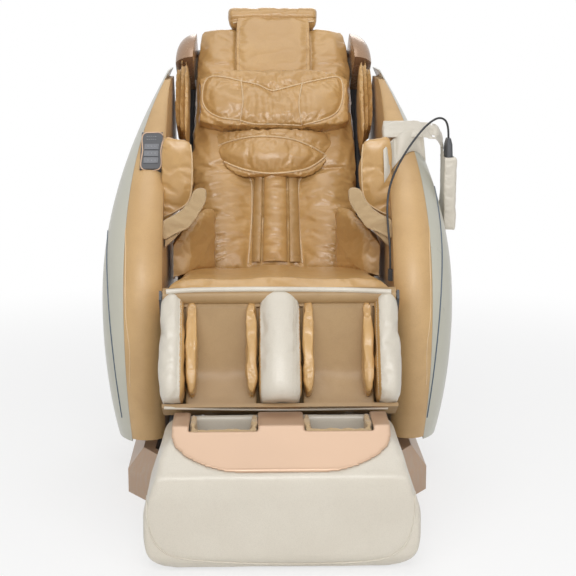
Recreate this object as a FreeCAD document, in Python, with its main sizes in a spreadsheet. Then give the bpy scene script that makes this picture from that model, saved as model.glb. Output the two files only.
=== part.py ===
import FreeCAD, Part
import Sketcher
import math
import os

V = FreeCAD.Vector
doc = FreeCAD.newDocument("MassageChair")
sheet = doc.addObject("Spreadsheet::Sheet", "Sizes")

# Driving sizes in millimetres and degrees
SIZES = {
    "slack": 0.3,
    "run_fit": 0.05,
    "base_half_x": 360,
    "base_half_y": 345,
    "base_rim_top": 58,
    "base_top": 120,
    "base_top_half_x": 319,
    "base_top_half_y": 330,
    "base_corner": 60,
    "front_cut_x": 110,
    "front_cut_y": 150,
    "front_top_x": 70,
    "front_top_y": 110,
    "frame_cut_x": 60,
    "frame_cut_y": 80,
    "frame_half_x": 290,
    "frame_half_y": 310,
    "frame_tube": 40,
    "pan_top": 52,
    "pan_wall": 6,
    "rail_x": 206,
    "rail_width": 32,
    "rail_height": 26,
    "rail_wall": 6,
    "rail_half_y": 300,
    "runner_half_y": 170,
    "seat_travel": 120,
    "control_width": 130,
    "control_depth": 200,
    "control_height": 80,
    "pump_radius": 45,
    "pump_length": 150,
    "inside_rear": 40,
    "inlet_width": 50,
    "inlet_height": 32,
    "inlet_depth": 9,
    "wheel_radius": 30,
    "wheel_width": 24,
    "wheel_x": 230,
    "wheel_rise": 33,
    "wheel_gap": 3,
    "wheel_pin": 5,
    "bracket_wall": 5,
    "hip_y": 130,
    "hip_z": 430,
    "hip_pin": 10,
    "back_lean": 30,
    "recline_range": 45,
    "knee_y": -424,
    "knee_z": 530,
    "knee_pin": 8,
    "knee_roll": 18,
    "leg_lean": 30,
    "lift_range": 75,
    "side_plate_x": 200,
    "side_plate_wall": 12,
    "deck_top": 302,
    "deck_wall": 6,
    "seat_gap": 10,
    "seat_front_y": -402,
    "seat_rear_y": 56,
    "seat_front_z": 553,
    "seat_slope": 7,
    "seat_thick": 80,
    "seat_pan": 5,
    "arm_inner": 263,
    "shell_bottom": 152,
    "shell_top": 990,
    "shell_belly": 402,
    "shell_belly_z": 490,
    "shell_lean_in": 132,
    "shell_tuck": 25,
    "band_belly": 349,
    "band_lean_in": 84,
    "band_tuck": 8,
    "band_top": 968,
    "nose_y": -340,
    "nose_z": 400,
    "nose_sweep": 470,
    "nose_tuck": 55,
    "tail_y": 455,
    "tail_z": 690,
    "tail_tuck": 155,
    "tail_top_tuck": 150,
    "upper_pad_inner": 202,
    "upper_pad_thick": 20,
    "upper_pad_top": 812,
    "lower_pad_bottom": 590,
    "lower_pad_rise": 72,
    "lower_pad_inner": 186,
    "lower_pad_thick": 34,
    "arm_pad_front": -228,
    "arm_pad_rear": 5,
    "hip_pad_top": 662,
    "hip_pad_front": -105,
    "hip_pad_rear": 40,
    "hip_pad_deep": 112,
    "hip_pad_thin": 34,
    "keypad_x": 294,
    "keypad_z": 815,
    "keypad_width": 50,
    "keypad_length": 118,
    "keypad_thick": 12,
    "key_travel": 1.5,
    "cushion_front": 99,
    "cushion_thick": 55,
    "cushion_low": 14,
    "cushion_high": 712,
    "cushion_low_half": 214,
    "cushion_mid_half": 218,
    "cushion_high_half": 200,
    "channel_half": 70,
    "channel_deep": 10,
    "back_tube": 14,
    "back_tube_x": 227,
    "back_tube_y": 12,
    "back_tube_top": 700,
    "cover_low": 40,
    "cover_half": 252,
    "cover_deep": 130,
    "cover_wall": 6,
    "guide_x": 95,
    "guide_size": 20,
    "guide_y": 30,
    "guide_low": 70,
    "guide_high": 625,
    "carriage_rest": 220,
    "carriage_range": 300,
    "carriage_height": 110,
    "arm_reach": 62,
    "arm_x": 48,
    "roller_radius": 26,
    "roller_width": 30,
    "roller_pin": 5,
    "roll_half": 113,
    "roll_radius": 21,
    "flap_half": 100,
    "flap_thick": 14,
    "flap_low": 540,
    "pillow_half": 196,
    "pillow_low": 390,
    "pillow_high": 556,
    "pillow_thick": 62,
    "neck_half": 155,
    "neck_low": 268,
    "neck_thick": 46,
    "cap_inner": 203,
    "cap_outer": 256,
    "cap_low": 572,
    "cap_high": 676,
    "cap_front": 190,
    "wing_inner": 220,
    "wing_outer": 257,
    "wing_low": 340,
    "wing_front": 200,
    "calf_half": 259,
    "calf_low": 240,
    "calf_deep": 104,
    "calf_wall": 10,
    "bolster_edge": 204,
    "centre_half": 47,
    "bolster_front": 30,
    "air_pad_thick": 26,
    "foot_half_low": 286,
    "foot_half_high": 259,
    "foot_front": -700,
    "foot_rear": -440,
    "foot_bottom": 6,
    "foot_gap": 8,
    "foot_crest_y": -598,
    "foot_crest_z": 284,
    "foot_lip_z": 212,
    "foot_corner_low": 64,
    "foot_corner_high": 72,
    "well_inner": 48,
    "well_outer": 193,
    "well_front": -608,
    "toe_front": -676,
    "toe_top": 176,
    "well_rear": -500,
    "well_floor": 60,
    "trim_half": 228,
    "trim_thick": 6,
    "foot_pad_thick": 16,
    "slide_tube_x": 150,
    "slide_tube": 10,
    "slide_sleeve": 14,
    "slide_y": 140,
    "foot_travel": 150,
    "lever_back": 95,
    "lever_leg": 150,
    "actuator_x": 70,
    "actuator_tube": 20,
    "actuator_rod": 9,
    "lever_pin": 5,
    "pouch_x": 394,
    "pouch_deep": 28,
    "pouch_wall": 4,
    "pouch_front": -146,
    "pouch_rear": -60,
    "pouch_low": 628,
    "pouch_high": 800,
    "handset_wide": 58,
    "handset_deep": 18,
    "handset_top": 842,
    "cord_thick": 5,
    "gland_y": -262,
    "gland_top": 556,
}


class Size:
    """A length or angle together with the sheet expression that gives it."""

    def __init__(self, value, text):
        self.value = float(value)
        self.text = text

    def join(self, other, sign, value):
        return Size(value, "(%s %s %s)" % (self.text, sign, as_size(other).text))

    def __add__(self, other):
        return self.join(other, "+", self.value + as_size(other).value)

    def __radd__(self, other):
        return as_size(other) + self

    def __sub__(self, other):
        return self.join(other, "-", self.value - as_size(other).value)

    def __rsub__(self, other):
        return as_size(other) - self

    def __mul__(self, other):
        return self.join(other, "*", self.value * as_size(other).value)

    def __rmul__(self, other):
        return as_size(other) * self

    def __truediv__(self, other):
        return self.join(other, "/", self.value / as_size(other).value)

    def __neg__(self):
        return as_size(0) - self

    def __float__(self):
        return self.value


def as_size(item):
    if isinstance(item, Size):
        return item
    return Size(item, "(%r)" % float(item))


def sine(angle):
    angle = as_size(angle)
    return Size(math.sin(math.radians(angle.value)), "sin(%s)" % angle.text)


def cosine(angle):
    angle = as_size(angle)
    return Size(math.cos(math.radians(angle.value)), "cos(%s)" % angle.text)


class Sheet:
    """The named sizes, each read back from its own cell."""


S = Sheet()
for row, (alias, number) in enumerate(SIZES.items(), start=1):
    sheet.set("A%d" % row, alias)
    sheet.set("B%d" % row, str(number))
    sheet.setAlias("B%d" % row, alias)
doc.recompute()
for alias in SIZES:
    setattr(S, alias, Size(sheet.get(alias), "Sizes.%s" % alias))

parts = []


def drive(obj, prop, size):
    """Tie one property to the sheet, or set it where it is a bare number."""
    if isinstance(size, Size):
        obj.setExpression(prop, size.text)
    elif "." not in prop and "[" not in prop:
        setattr(obj, prop, size)
    else:
        obj.setExpression(prop, repr(float(size)))


def keep(obj, label):
    obj.Label = label
    parts.append(obj)
    return obj


def put(obj, frame):
    """Place an object in a tilted frame: (x, y, z, tilt about X)."""
    x, y, z, tilt = frame
    obj.Placement.Rotation = FreeCAD.Rotation(V(1, 0, 0), 1)
    for prop, size in (("Base.x", x), ("Base.y", y), ("Base.z", z)):
        drive(obj, "Placement." + prop, as_size(size))
    drive(obj, "Placement.Rotation.Angle", as_size(tilt))
    return obj


def block(x, y, z, name="block"):
    """A box between two faces along each axis."""
    box = doc.addObject("Part::Box", name)
    for prop, axis, (low, high) in (("Length", "x", x), ("Width", "y", y), ("Height", "z", z)):
        drive(box, prop, as_size(high) - low)
        drive(box, "Placement.Base." + axis, as_size(low))
    return box


def bar(radius, x, y, z, name="bar"):
    """A cylinder along the one axis that is given as a pair."""
    rod = doc.addObject("Part::Cylinder", name)
    drive(rod, "Radius", as_size(radius))
    turns = {"x": (V(0, 1, 0), 90), "y": (V(1, 0, 0), -90), "z": (V(0, 0, 1), 0)}
    for axis, place in (("x", x), ("y", y), ("z", z)):
        if isinstance(place, tuple):
            low, high = place
            drive(rod, "Height", as_size(high) - low)
            rod.Placement.Rotation = FreeCAD.Rotation(*turns[axis])
            place = low
        drive(rod, "Placement.Base." + axis, as_size(place))
    return rod


def fuse(name, *items):
    obj = doc.addObject("Part::MultiFuse", name)
    obj.Shapes = list(items)
    return obj


def cut(name, base, *tools):
    obj = doc.addObject("Part::Cut", name)
    obj.Base = base
    obj.Tool = tools[0] if len(tools) == 1 else fuse(name + "_tools", *tools)
    return obj


def common(name, first, second):
    obj = doc.addObject("Part::Common", name)
    obj.Base, obj.Tool = first, second
    return obj


def solid(shape, name):
    """A free form set from the sheet's values."""
    obj = doc.addObject("Part::Feature", name)
    obj.Shape = shape
    return obj


def mirror(source, name):
    """The same piece on the other side of the middle plane."""
    obj = doc.addObject("Part::Mirroring", name)
    obj.Source = source
    obj.Normal = V(1, 0, 0)
    return obj


def sketch(body, role, points, name, lift=0):
    """A closed outline through driven corners on one of the body's planes."""
    plane = [item for item in body.Origin.OriginFeatures if item.Role == role][0]
    outline = body.newObject("Sketcher::SketchObject", name)
    outline.AttachmentSupport = [(plane, "")]
    outline.MapMode = "FlatFace"
    drive(outline, "AttachmentOffset.Base.z", as_size(lift))
    corners = [(as_size(a), as_size(b)) for a, b in points]
    count = len(corners)
    for index, (a, b) in enumerate(corners):
        c, d = corners[(index + 1) % count]
        line = Part.LineSegment(V(a.value, b.value, 0), V(c.value, d.value, 0))
        outline.addGeometry(line, False)
    for index in range(count):
        joint = Sketcher.Constraint("Coincident", index, 2, (index + 1) % count, 1)
        outline.addConstraint(joint)
    for index, corner in enumerate(corners):
        for kind, size in zip(("DistanceX", "DistanceY"), corner):
            rule = Sketcher.Constraint(kind, -1, 1, index, 1, size.value)
            number = outline.addConstraint(rule)
            outline.setExpression("Constraints[%d]" % number, size.text)
    return outline


def pad(role, points, low, high, name):
    """A body with one outline padded from one level to another."""
    body = doc.addObject("PartDesign::Body", name)
    outline = sketch(body, role, points, name + "_outline", low)
    feature = body.newObject("PartDesign::Pad", name + "_pad")
    feature.Profile = outline
    drive(feature, "Length", as_size(high) - low)
    return body


def pocket(body, role, points, low, high, name):
    """Cut an outline out of a body between two levels."""
    doc.recompute()
    before = body.Shape.Volume
    outline = sketch(body, role, points, name + "_outline", low)
    feature = body.newObject("PartDesign::Pocket", name + "_pocket")
    feature.Profile = outline
    drive(feature, "Length", as_size(high) - low)
    feature.Reversed = True
    doc.recompute()
    if not body.Shape.Volume < before - 1:
        raise RuntimeError("the pocket %s cuts nothing" % name)
    return feature


def plan(x, y, corner, cut_x, cut_y):
    """Corner points of a plan about the middle, cut at the rear and drawn in at the front."""
    x, y = as_size(x), as_size(y)
    right = [(x, y - corner), (x - corner, y)]
    left = [(-(x - corner), y), (-x, y - corner)]
    near = [(-x, -(y - cut_y)), (-(x - cut_x), -y), (x - cut_x, -y), (x, -(y - cut_y))]
    return right + left + near


# Soft forms: rounded rectangles lofted along one axis
def rounded(axis, at, u, v, corner):
    """A rectangle with round corners in the plane across one axis."""
    (a, b), (c, d) = u, v
    k = corner * (1 - math.sqrt(0.5))
    loops = [
        ((a + corner, c), (b - corner, c), (b - k, c + k), (b, c + corner)),
        ((b, c + corner), (b, d - corner), (b - k, d - k), (b - corner, d)),
        ((b - corner, d), (a + corner, d), (a + k, d - k), (a, d - corner)),
        ((a, d - corner), (a, c + corner), (a + k, c + k), (a + corner, c)),
    ]
    edges = []
    for start, end, middle, after in loops:
        p, q, m, r = (spot(axis, at, *pair) for pair in (start, end, middle, after))
        edges.append(Part.LineSegment(p, q).toShape())
        edges.append(Part.Arc(q, m, r).toShape())
    return Part.Wire(edges)


def spot(axis, at, u, v):
    """A point from its place along an axis and its two cross values."""
    if axis == "x":
        return V(at, u, v)
    if axis == "y":
        return V(u, at, v)
    return V(u, v, at)


PUFF = ((0.0, 1.0), (0.1, 0.35), (0.3, 0.06), (0.5, 0.0), (0.7, 0.06), (0.9, 0.35), (1.0, 1.0))


def cushion(axis, along, u, v, edge, corner, flat=""):
    """A pillow within given faces, drawn in by edge at both ends."""
    low, high = (float(item) for item in along)
    (a, b), (c, d) = [[float(item) for item in pair] for pair in (u, v)]
    corner = min(corner, (b - a - 2 * edge) * 0.4, (d - c - 2 * edge) * 0.4)
    wires = []
    for share, inset in PUFF:
        step = edge * inset
        wires.append(rounded(axis, low + (high - low) * share,
                             (a + (0 if "a" in flat else step), b - (0 if "b" in flat else step)),
                             (c + (0 if "c" in flat else step), d - (0 if "d" in flat else step)),
                             corner))
    return Part.makeLoft(wires, True, False)


# Frames in which the leaning units are drawn
BACK = (0, S.hip_y, S.hip_z, -S.back_lean)
LEG = (0, S.knee_y, S.knee_z, -S.leg_lean)


# Base
def base_frame():
    out, deep, tube = S.frame_half_x, S.frame_half_y, S.frame_tube
    level = (12, S.pan_top)
    items = [block((-out, tube - out), (-deep, deep), level, "side_tube_a")]
    items.append(block((out - tube, out), (-deep, deep), level, "side_tube_b"))
    for name, middle in (("front", -deep + tube / 2), ("middle", as_size(0)), ("rear", deep - tube / 2)):
        items.append(block((-out, out), (middle - tube / 2, middle + tube / 2), level, name + "_tube"))
    items.append(block((-out, out), (-deep, deep), (S.pan_top - S.pan_wall, S.pan_top), "floor_pan"))
    corners = []
    for sx in (-1, 1):
        outline = [(sx * out, -(deep - S.frame_cut_y)), (sx * (out - S.frame_cut_x), -deep), (sx * out, -deep - 1),
                   (sx * (out + 1), -deep)]
        corners.append(pad("XY_Plane", outline, 0, S.pan_top + 1, "frame_corner"))
        items.append(bar(24, sx * (out - 24), deep - 24, (0, 20), "rear_foot"))
        items.append(bar(24, sx * (out - 24), -(deep - S.frame_cut_y - 15), (0, 20), "front_foot"))
    return keep(cut("base_frame", fuse("base_frame_whole", *items), *corners), "base_frame")


def base_skirt():
    around = (S.base_corner, S.front_cut_x, S.front_cut_y)
    body = pad("XY_Plane", plan(S.base_half_x, S.base_half_y, *around), 0, S.base_rim_top, "base_skirt")
    low = sketch(body, "XY_Plane", plan(S.base_half_x, S.base_half_y, *around), "skirt_low", S.base_rim_top)
    high = sketch(body, "XY_Plane",
                  plan(S.base_top_half_x, S.base_top_half_y, S.base_corner, S.front_top_x, S.front_top_y),
                  "skirt_high", S.base_top)
    loft = body.newObject("PartDesign::AdditiveLoft", "skirt_slope")
    loft.Profile = low
    loft.Sections = [high]
    room = [(S.frame_half_x + S.slack, S.frame_half_y + S.slack), (-S.frame_half_x - S.slack, S.frame_half_y + S.slack)]
    room += plan(S.frame_half_x + S.slack, S.frame_half_y + S.slack, 0, S.frame_cut_x, S.frame_cut_y)[4:]
    pocket(body, "XY_Plane", room, -1, S.base_top + 1, "skirt_room")
    return keep(body, "base_skirt")


def slide_rails():
    rails = []
    half = S.rail_width / 2
    top = S.pan_top + S.rail_height
    for side in (-1, 1):
        x = side * S.rail_x
        whole = block((x - half, x + half), (-S.rail_half_y, S.rail_half_y), (S.pan_top, top), "rail")
        slot = block((x - half + S.rail_wall, x + half - S.rail_wall), (-S.rail_half_y - 1, S.rail_half_y + 1),
                     (S.pan_top + S.rail_wall, top + 1), "rail_slot")
        rails.append(cut("rail_cut", whole, slot))
    return keep(fuse("slide_rails", *rails), "slide_rails")


def control_box():
    box = block((-S.control_width - 20, -20), (S.inside_rear - S.control_depth, S.inside_rear),
                (S.pan_top, S.pan_top + S.control_height), "control_body")
    rib = block((-S.control_width, -40), (S.inside_rear - S.control_depth + 10, S.inside_rear - 10),
                (S.pan_top + S.control_height - 1, S.pan_top + S.control_height + 6), "control_lid")
    return keep(fuse("control_box", box, rib), "control_box")


def air_pump():
    x = 30 + S.pump_radius
    z = S.pan_top + S.pump_radius + 4
    drum = bar(S.pump_radius, x, (S.inside_rear - S.pump_length, S.inside_rear), z, "pump_drum")
    foot = block((x - S.pump_radius * 0.8, x + S.pump_radius * 0.8), (S.inside_rear - S.pump_length + 10, S.inside_rear - 10),
                 (S.pan_top, S.pan_top + 20), "pump_foot")
    return keep(fuse("air_pump", drum, foot), "air_pump")


def power_inlet():
    x, y = (-S.inlet_width - 60, as_size(-60)), (S.base_half_y, S.base_half_y + S.inlet_depth)
    z = (S.base_rim_top - S.inlet_height - 6, S.base_rim_top - 6)
    whole = block(x, y, z, "inlet_body")
    hollow = block((x[0] + 5, x[1] - 5), (y[0] + 2, y[1] + 1), (z[0] + 5, z[1] - 5), "inlet_room")
    prongs = [bar(1.6, x[0] + S.inlet_width * share, (y[0] + 1, y[1] - 1), (z[0] + z[1]) / 2, "prong")
              for share in (0.3, 0.5, 0.7)]
    return keep(fuse("power_inlet", cut("inlet_cut", whole, hollow), *prongs), "power_inlet")


def wheel_spot():
    return S.base_half_y + S.wheel_radius + S.wheel_gap, S.wheel_rise


def transport_wheels():
    y, z = wheel_spot()
    items = []
    for side in (-1, 1):
        x = side * S.wheel_x
        gap = S.wheel_width / 2 + 1
        wall = S.bracket_wall
        for edge in (-gap - wall, gap):
            items.append(block((x + edge, x + edge + wall), (S.base_half_y, y + 12), (z - 12, z + 16), "wheel_cheek"))
        items.append(block((x - gap - wall, x + gap + wall), (S.base_half_y, S.base_half_y + 2.5),
                           (z - 12, z + 16), "wheel_plate"))
        items.append(bar(S.wheel_pin, (x - gap - wall, x + gap + wall), y, z, "wheel_pin"))
    keep(fuse("wheel_brackets", *items), "wheel_brackets")
    for side, name in ((-1, "right"), (1, "left")):
        x = side * S.wheel_x
        half = S.wheel_width / 2
        tyre = bar(S.wheel_radius, (x - half, x + half), y, z, "wheel_tyre")
        bore = bar(S.wheel_pin + S.run_fit, (x - half - 1, x + half + 1), y, z, "wheel_bore")
        keep(cut("transport_wheel_" + name, tyre, bore), "transport_wheel_" + name)


# Seat frame, its runners, pins and brackets
def seat_frame():
    wall = S.side_plate_wall
    runner = S.rail_width / 2 - S.rail_wall - S.slack
    floor = S.pan_top + S.rail_wall + S.slack
    plate_low = S.pan_top + S.rail_height
    seat_low_z = seat_bottom(S.seat_front_y + 30) - S.seat_pan
    items = []
    for side in (-1, 1):
        rail = side * S.rail_x
        items.append(block((rail - runner, rail + runner), (-S.runner_half_y, S.runner_half_y),
                           (floor, plate_low + 20), "runner"))
        low = side * S.side_plate_x if side > 0 else -S.side_plate_x - wall
        outline = [(-S.runner_half_y + 20, plate_low + 6), (S.runner_half_y, plate_low + 6),
                   (S.runner_half_y - 6, S.hip_z - 60), (S.runner_half_y - 10, S.hip_z + 24), (S.hip_y - 30, S.hip_z + 26),
                   (S.hip_y - 60, seat_bottom(S.hip_y - 60) - S.seat_pan), (S.seat_front_y + 30, seat_low_z),
                   (S.seat_front_y + 14, seat_low_z - 26)]
        items.append(pad("YZ_Plane", outline, low, low + wall, "side_plate"))
        pin_end = S.back_tube_x + S.back_tube
        pin = (S.side_plate_x, pin_end) if side > 0 else (-pin_end, -S.side_plate_x)
        items.append(bar(S.hip_pin, pin, S.hip_y, S.hip_z, "hip_pin"))
        for y in (S.runner_half_y * -0.6, S.runner_half_y * 0.6):
            reach = (S.side_plate_x + wall - 1, S.arm_inner - S.slack)
            if side < 0:
                reach = (-reach[1], -reach[0])
            items.append(block(reach, (y - 20, y + 20), (S.shell_bottom + 40, S.shell_bottom + 66), "side_bracket"))
        ear = (seat_half() + 2.5, S.arm_inner - 2)
        if side < 0:
            ear = (-ear[1], -ear[0])
        y, z = knee_tube()
        outline = [(S.knee_y - 13, S.knee_z - 5), (S.knee_y - 5, S.knee_z + 13), (S.knee_y + 13, S.knee_z + 5),
                   (y + 14, z + 8), (y + 8, z - 14), (y - 14, z - 4)]
        items.append(pad("YZ_Plane", outline, ear[0], ear[1], "knee_ear"))
    side_out = S.side_plate_x + wall
    items.append(block((-side_out, side_out), (-S.runner_half_y - 100, S.hip_y - 80),
                       (S.deck_top - S.deck_wall, S.deck_top), "deck"))
    y, z = knee_tube()
    items.append(bar(8, (-S.arm_inner + 2, S.arm_inner - 2), y, z, "knee_tube"))
    items.append(bar(S.knee_pin, (-S.arm_inner + 2, S.arm_inner - 2), S.knee_y, S.knee_z, "knee_pin"))
    items.append(seat_pan())
    return keep(fuse("seat_frame", *items), "seat_frame")


def rear_panel():
    """Cover between the side shells below the back."""
    low, high = S.base_top + 6, S.deck_top + 8
    plate = block((-S.arm_inner + S.slack, S.arm_inner - S.slack), (S.runner_half_y + S.slack, S.runner_half_y + 5), (low, high),
                  "rear_plate")
    ribs = [block((-S.arm_inner + 30, S.arm_inner - 30), (S.runner_half_y + 4, S.runner_half_y + 9), (z, z + 8), "rib")
            for z in (low + 30, low + 60, low + 90)]
    return keep(fuse("rear_panel", plate, *ribs), "rear_panel")


def seat_half():
    return S.arm_inner - S.seat_gap


def knee_tube():
    return S.seat_front_y + 20, seat_bottom(S.seat_front_y + 20) - S.seat_pan - 6


def seat_top(y):
    return S.seat_front_z - (y - S.seat_front_y) * sine(S.seat_slope) / cosine(S.seat_slope)


def seat_bottom(y):
    return seat_top(y) - S.seat_thick


def seat_pan():
    front, rear = S.seat_front_y + 12, S.hip_y - 62
    outline = [(front, seat_bottom(front)), (rear, seat_bottom(rear)),
               (rear, seat_bottom(rear) - S.seat_pan), (front, seat_bottom(front) - S.seat_pan)]
    half = S.side_plate_x + S.side_plate_wall
    return pad("YZ_Plane", outline, -half, half, "seat_pan")


def seat_cushion():
    """Seat cushion with a crown across its width and a round front."""
    wires = []
    half = seat_half().value
    for share, drop in ((-1, 16), (-0.9, 5), (-0.55, 1), (0, -5), (0.55, 1), (0.9, 5), (1, 16)):
        front = S.seat_front_y.value + max(drop, 0) * 0.5
        rear = S.seat_rear_y.value - max(drop, 0) * 0.5
        top_f = seat_top(front).value - drop
        top_r = seat_top(rear).value - drop
        low_f = seat_bottom(front).value + S.slack.value
        low_r = seat_bottom(rear).value + S.slack.value
        nose = 26.0
        x = half * share
        points = [V(x, rear, low_r), V(x, front, low_f), V(x, front, top_f - nose),
                  V(x, front + nose * 0.27, top_f - nose * 0.3), V(x, front + nose, top_f - nose * 0.12)]
        after = V(x, rear, top_r)
        edges = [Part.LineSegment(points[0], points[1]).toShape(), Part.LineSegment(points[1], points[2]).toShape(),
                 Part.Arc(points[2], points[3], points[4]).toShape(), Part.LineSegment(points[4], after).toShape(),
                 Part.LineSegment(after, points[0]).toShape()]
        wires.append(Part.Wire(edges))
    return keep(solid(Part.makeLoft(wires, True, False), "seat_cushion"), "seat_cushion")


# Side shells and the padded bands on their front edges
def shell_out(z):
    t = (z - S.shell_belly_z.value) / 500.0
    lean = S.shell_lean_in if t > 0 else S.shell_tuck * 2.4
    return S.shell_belly.value - lean.value * t * t


def band_out(z):
    t = (z - S.shell_belly_z.value) / 500.0
    if t > 0:
        return S.band_belly.value - S.band_lean_in.value * t ** 3
    return S.band_belly.value - S.band_tuck.value * 2.4 * t * t


def nose(z):
    t = (z - S.nose_z.value) / 580.0
    if t > 0:
        return S.nose_y.value + S.nose_sweep.value * t ** 2.2
    return S.nose_y.value + S.nose_tuck.value * (t * 580 / 240.0) ** 2


def tail(z):
    t = z - S.tail_z.value
    if t > 0:
        return S.tail_y.value - S.tail_top_tuck.value * (t / 350.0) ** 2
    return S.tail_y.value - S.tail_tuck.value * (t / 530.0) ** 2


def shell_wire(z):
    inner = max(band_out(z), S.arm_inner.value - 2)
    outer = max(shell_out(z), inner + 5)
    front, rear = nose(z) + 8, tail(z)
    reach = min(110.0, (rear - front) * 0.35)
    a, b = V(inner, front, z), V(outer, front + reach, z)
    c, d = V(outer, rear - reach * 0.8, z), V(inner, rear, z)
    turn_a = V(inner + (outer - inner) * 0.78, front + reach * 0.33, z)
    turn_b = V(inner + (outer - inner) * 0.78, rear - reach * 0.26, z)
    return Part.Wire([Part.Arc(a, turn_a, b).toShape(), Part.LineSegment(b, c).toShape(),
                      Part.Arc(c, turn_b, d).toShape(), Part.LineSegment(d, a).toShape()])


def levels(low, high, count):
    return [low + (high - low) * step / (count - 1.0) for step in range(count)]


def side_shells():
    wires = [shell_wire(z) for z in levels(S.shell_bottom.value, S.shell_top.value, 9)]
    left = keep(solid(Part.makeLoft(wires, True, False), "side_shell_left"), "side_shell_left")
    keep(mirror(left, "side_shell_right"), "side_shell_right")


def band_wire(z):
    inner, outer = S.arm_inner.value, max(band_out(z) - S.slack.value, S.arm_inner.value + 4)
    front = nose(z) + 6
    rear = tail(z) - 40
    middle = V((inner + outer) / 2, front - (outer - inner) * 0.17, z)
    a, b = V(inner, front + 14, z), V(outer, front + 2, z)
    return Part.Wire([Part.Arc(a, middle, b).toShape(), Part.LineSegment(b, V(outer, rear, z)).toShape(),
                      Part.LineSegment(V(outer, rear, z), V(inner, rear, z)).toShape(),
                      Part.LineSegment(V(inner, rear, z), a).toShape()])


def arm_facings():
    wires = [band_wire(z) for z in levels(S.shell_bottom.value + 8, S.band_top.value, 9)]
    left = keep(solid(Part.makeLoft(wires, True, False), "arm_facing_left"), "arm_facing_left")
    plain = mirror(left, "band_right")
    keep(cut("arm_facing_right", plain, keypad_room()), "arm_facing_right")


def slope_at(z):
    """Lean of the band's front edge, in degrees above level, at a height."""
    rise = (nose(z + 10) - nose(z - 10)) / 20.0
    return math.degrees(math.atan2(1, rise))


# Pads along the arms and hips
def arm_pads():
    inner, outer = S.upper_pad_inner, S.arm_inner - S.slack
    a, b, skin = inner.value, outer.value, S.upper_pad_thick.value
    wires = []
    for share, inset in PUFF:
        y = S.arm_pad_front.value + 60 + (S.arm_pad_rear.value - S.arm_pad_front.value - 60) * share
        k = inset * 5
        low = arm_pad_line(a) + S.lower_pad_thick.value + 10 + 20 * share + k
        high = S.upper_pad_top.value + 26 * share - k
        p = [V(b, y, high), V(a + 22, y, high - 24), V(a + k, y, low + 46), V(a + 3 + k, y, low),
             V(a + skin - k, y, low), V(a + skin + 2 - k, y, low + 44), V(a + skin + 14, y, high - 44 + k),
             V(b, y, high - skin - 8 + k)]
        edges = [Part.Arc(p[0], p[1], p[2]).toShape(), Part.LineSegment(p[2], p[3]).toShape(),
                 Part.LineSegment(p[3], p[4]).toShape(), Part.LineSegment(p[4], p[5]).toShape(),
                 Part.Arc(p[5], p[6], p[7]).toShape(), Part.LineSegment(p[7], p[0]).toShape()]
        wires.append(Part.Wire(edges))
    left = keep(solid(Part.makeLoft(wires, True, False), "arm_upper_pad_left"), "arm_upper_pad_left")
    keep(mirror(left, "arm_upper_pad_right"), "arm_upper_pad_right")
    lower = keep(solid(lower_arm_form(outer.value), "arm_lower_pad_left"), "arm_lower_pad_left")
    keep(mirror(lower, "arm_lower_pad_right"), "arm_lower_pad_right")


def arm_pad_line(x):
    """Height of the underside of the slanted lower arm pad."""
    slant = (S.lower_pad_rise.value) / (S.arm_inner.value - S.lower_pad_inner.value)
    return S.lower_pad_bottom.value + (S.arm_inner.value - x) * slant


def lower_arm_form(outer):
    a, thick = S.lower_pad_inner.value, S.lower_pad_thick.value
    wires = []
    for share, inset in PUFF:
        y = S.arm_pad_front.value + (S.arm_pad_rear.value - S.arm_pad_front.value) * share
        k = inset * 6
        low, high = arm_pad_line(outer), arm_pad_line(a + k)
        p = [V(outer, y, low + k), V(outer, y, low + thick - k), V((a + outer) / 2, y, (low + high) / 2 + thick + 4 - k),
             V(a + 14, y, high + thick - k - 6), V(a + 1 + k, y, high + thick * 0.45), V(a + 10 + k, y, high - 2 + k)]
        edges = [Part.LineSegment(p[0], p[1]).toShape(), Part.Arc(p[1], p[2], p[3]).toShape(),
                 Part.Arc(p[3], p[4], p[5]).toShape(), Part.LineSegment(p[5], p[0]).toShape()]
        wires.append(Part.Wire(edges))
    return Part.makeLoft(wires, True, False)


def hip_pads():
    out = seat_half().value - 3
    front, rear = S.hip_pad_front.value, S.hip_pad_rear.value
    wires = []
    for share, inset in PUFF:
        y = front + (rear - front) * share
        k = inset * 8
        deep = S.hip_pad_thin.value + (S.hip_pad_deep.value - S.hip_pad_thin.value) * share
        a = out - deep + k
        low = seat_top(rear).value - 20
        high = min(arm_pad_line(a) - 8, S.hip_pad_top.value) - k
        high_out = arm_pad_line(out) - 8 - k
        high_mid = min(arm_pad_line(a + 12) - 6, S.hip_pad_top.value) - k
        p = [V(out, y, low), V(out, y, high_out), V(a + 16, y, high_mid), V(a + 4, y, high - 8), V(a, y, high - 22),
             V(a, y, low)]
        edges = [Part.LineSegment(p[0], p[1]).toShape(), Part.LineSegment(p[1], p[2]).toShape(),
                 Part.Arc(p[2], p[3], p[4]).toShape(), Part.LineSegment(p[4], p[5]).toShape(),
                 Part.LineSegment(p[5], p[0]).toShape()]
        wires.append(Part.Wire(edges))
    form = Part.makeLoft(wires, True, False)
    seat = doc.getObject("seat_cushion").Shape
    left = keep(solid(form.cut(seat), "hip_pad_left"), "hip_pad_left")
    keep(mirror(left, "hip_pad_right"), "hip_pad_right")


# Keypad on the right band, its plate sunk a little into the padding
def keypad_frame():
    z = S.keypad_z.value
    y = nose(z) - 6
    return V(-S.keypad_x.value, y, z), slope_at(z)


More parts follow.
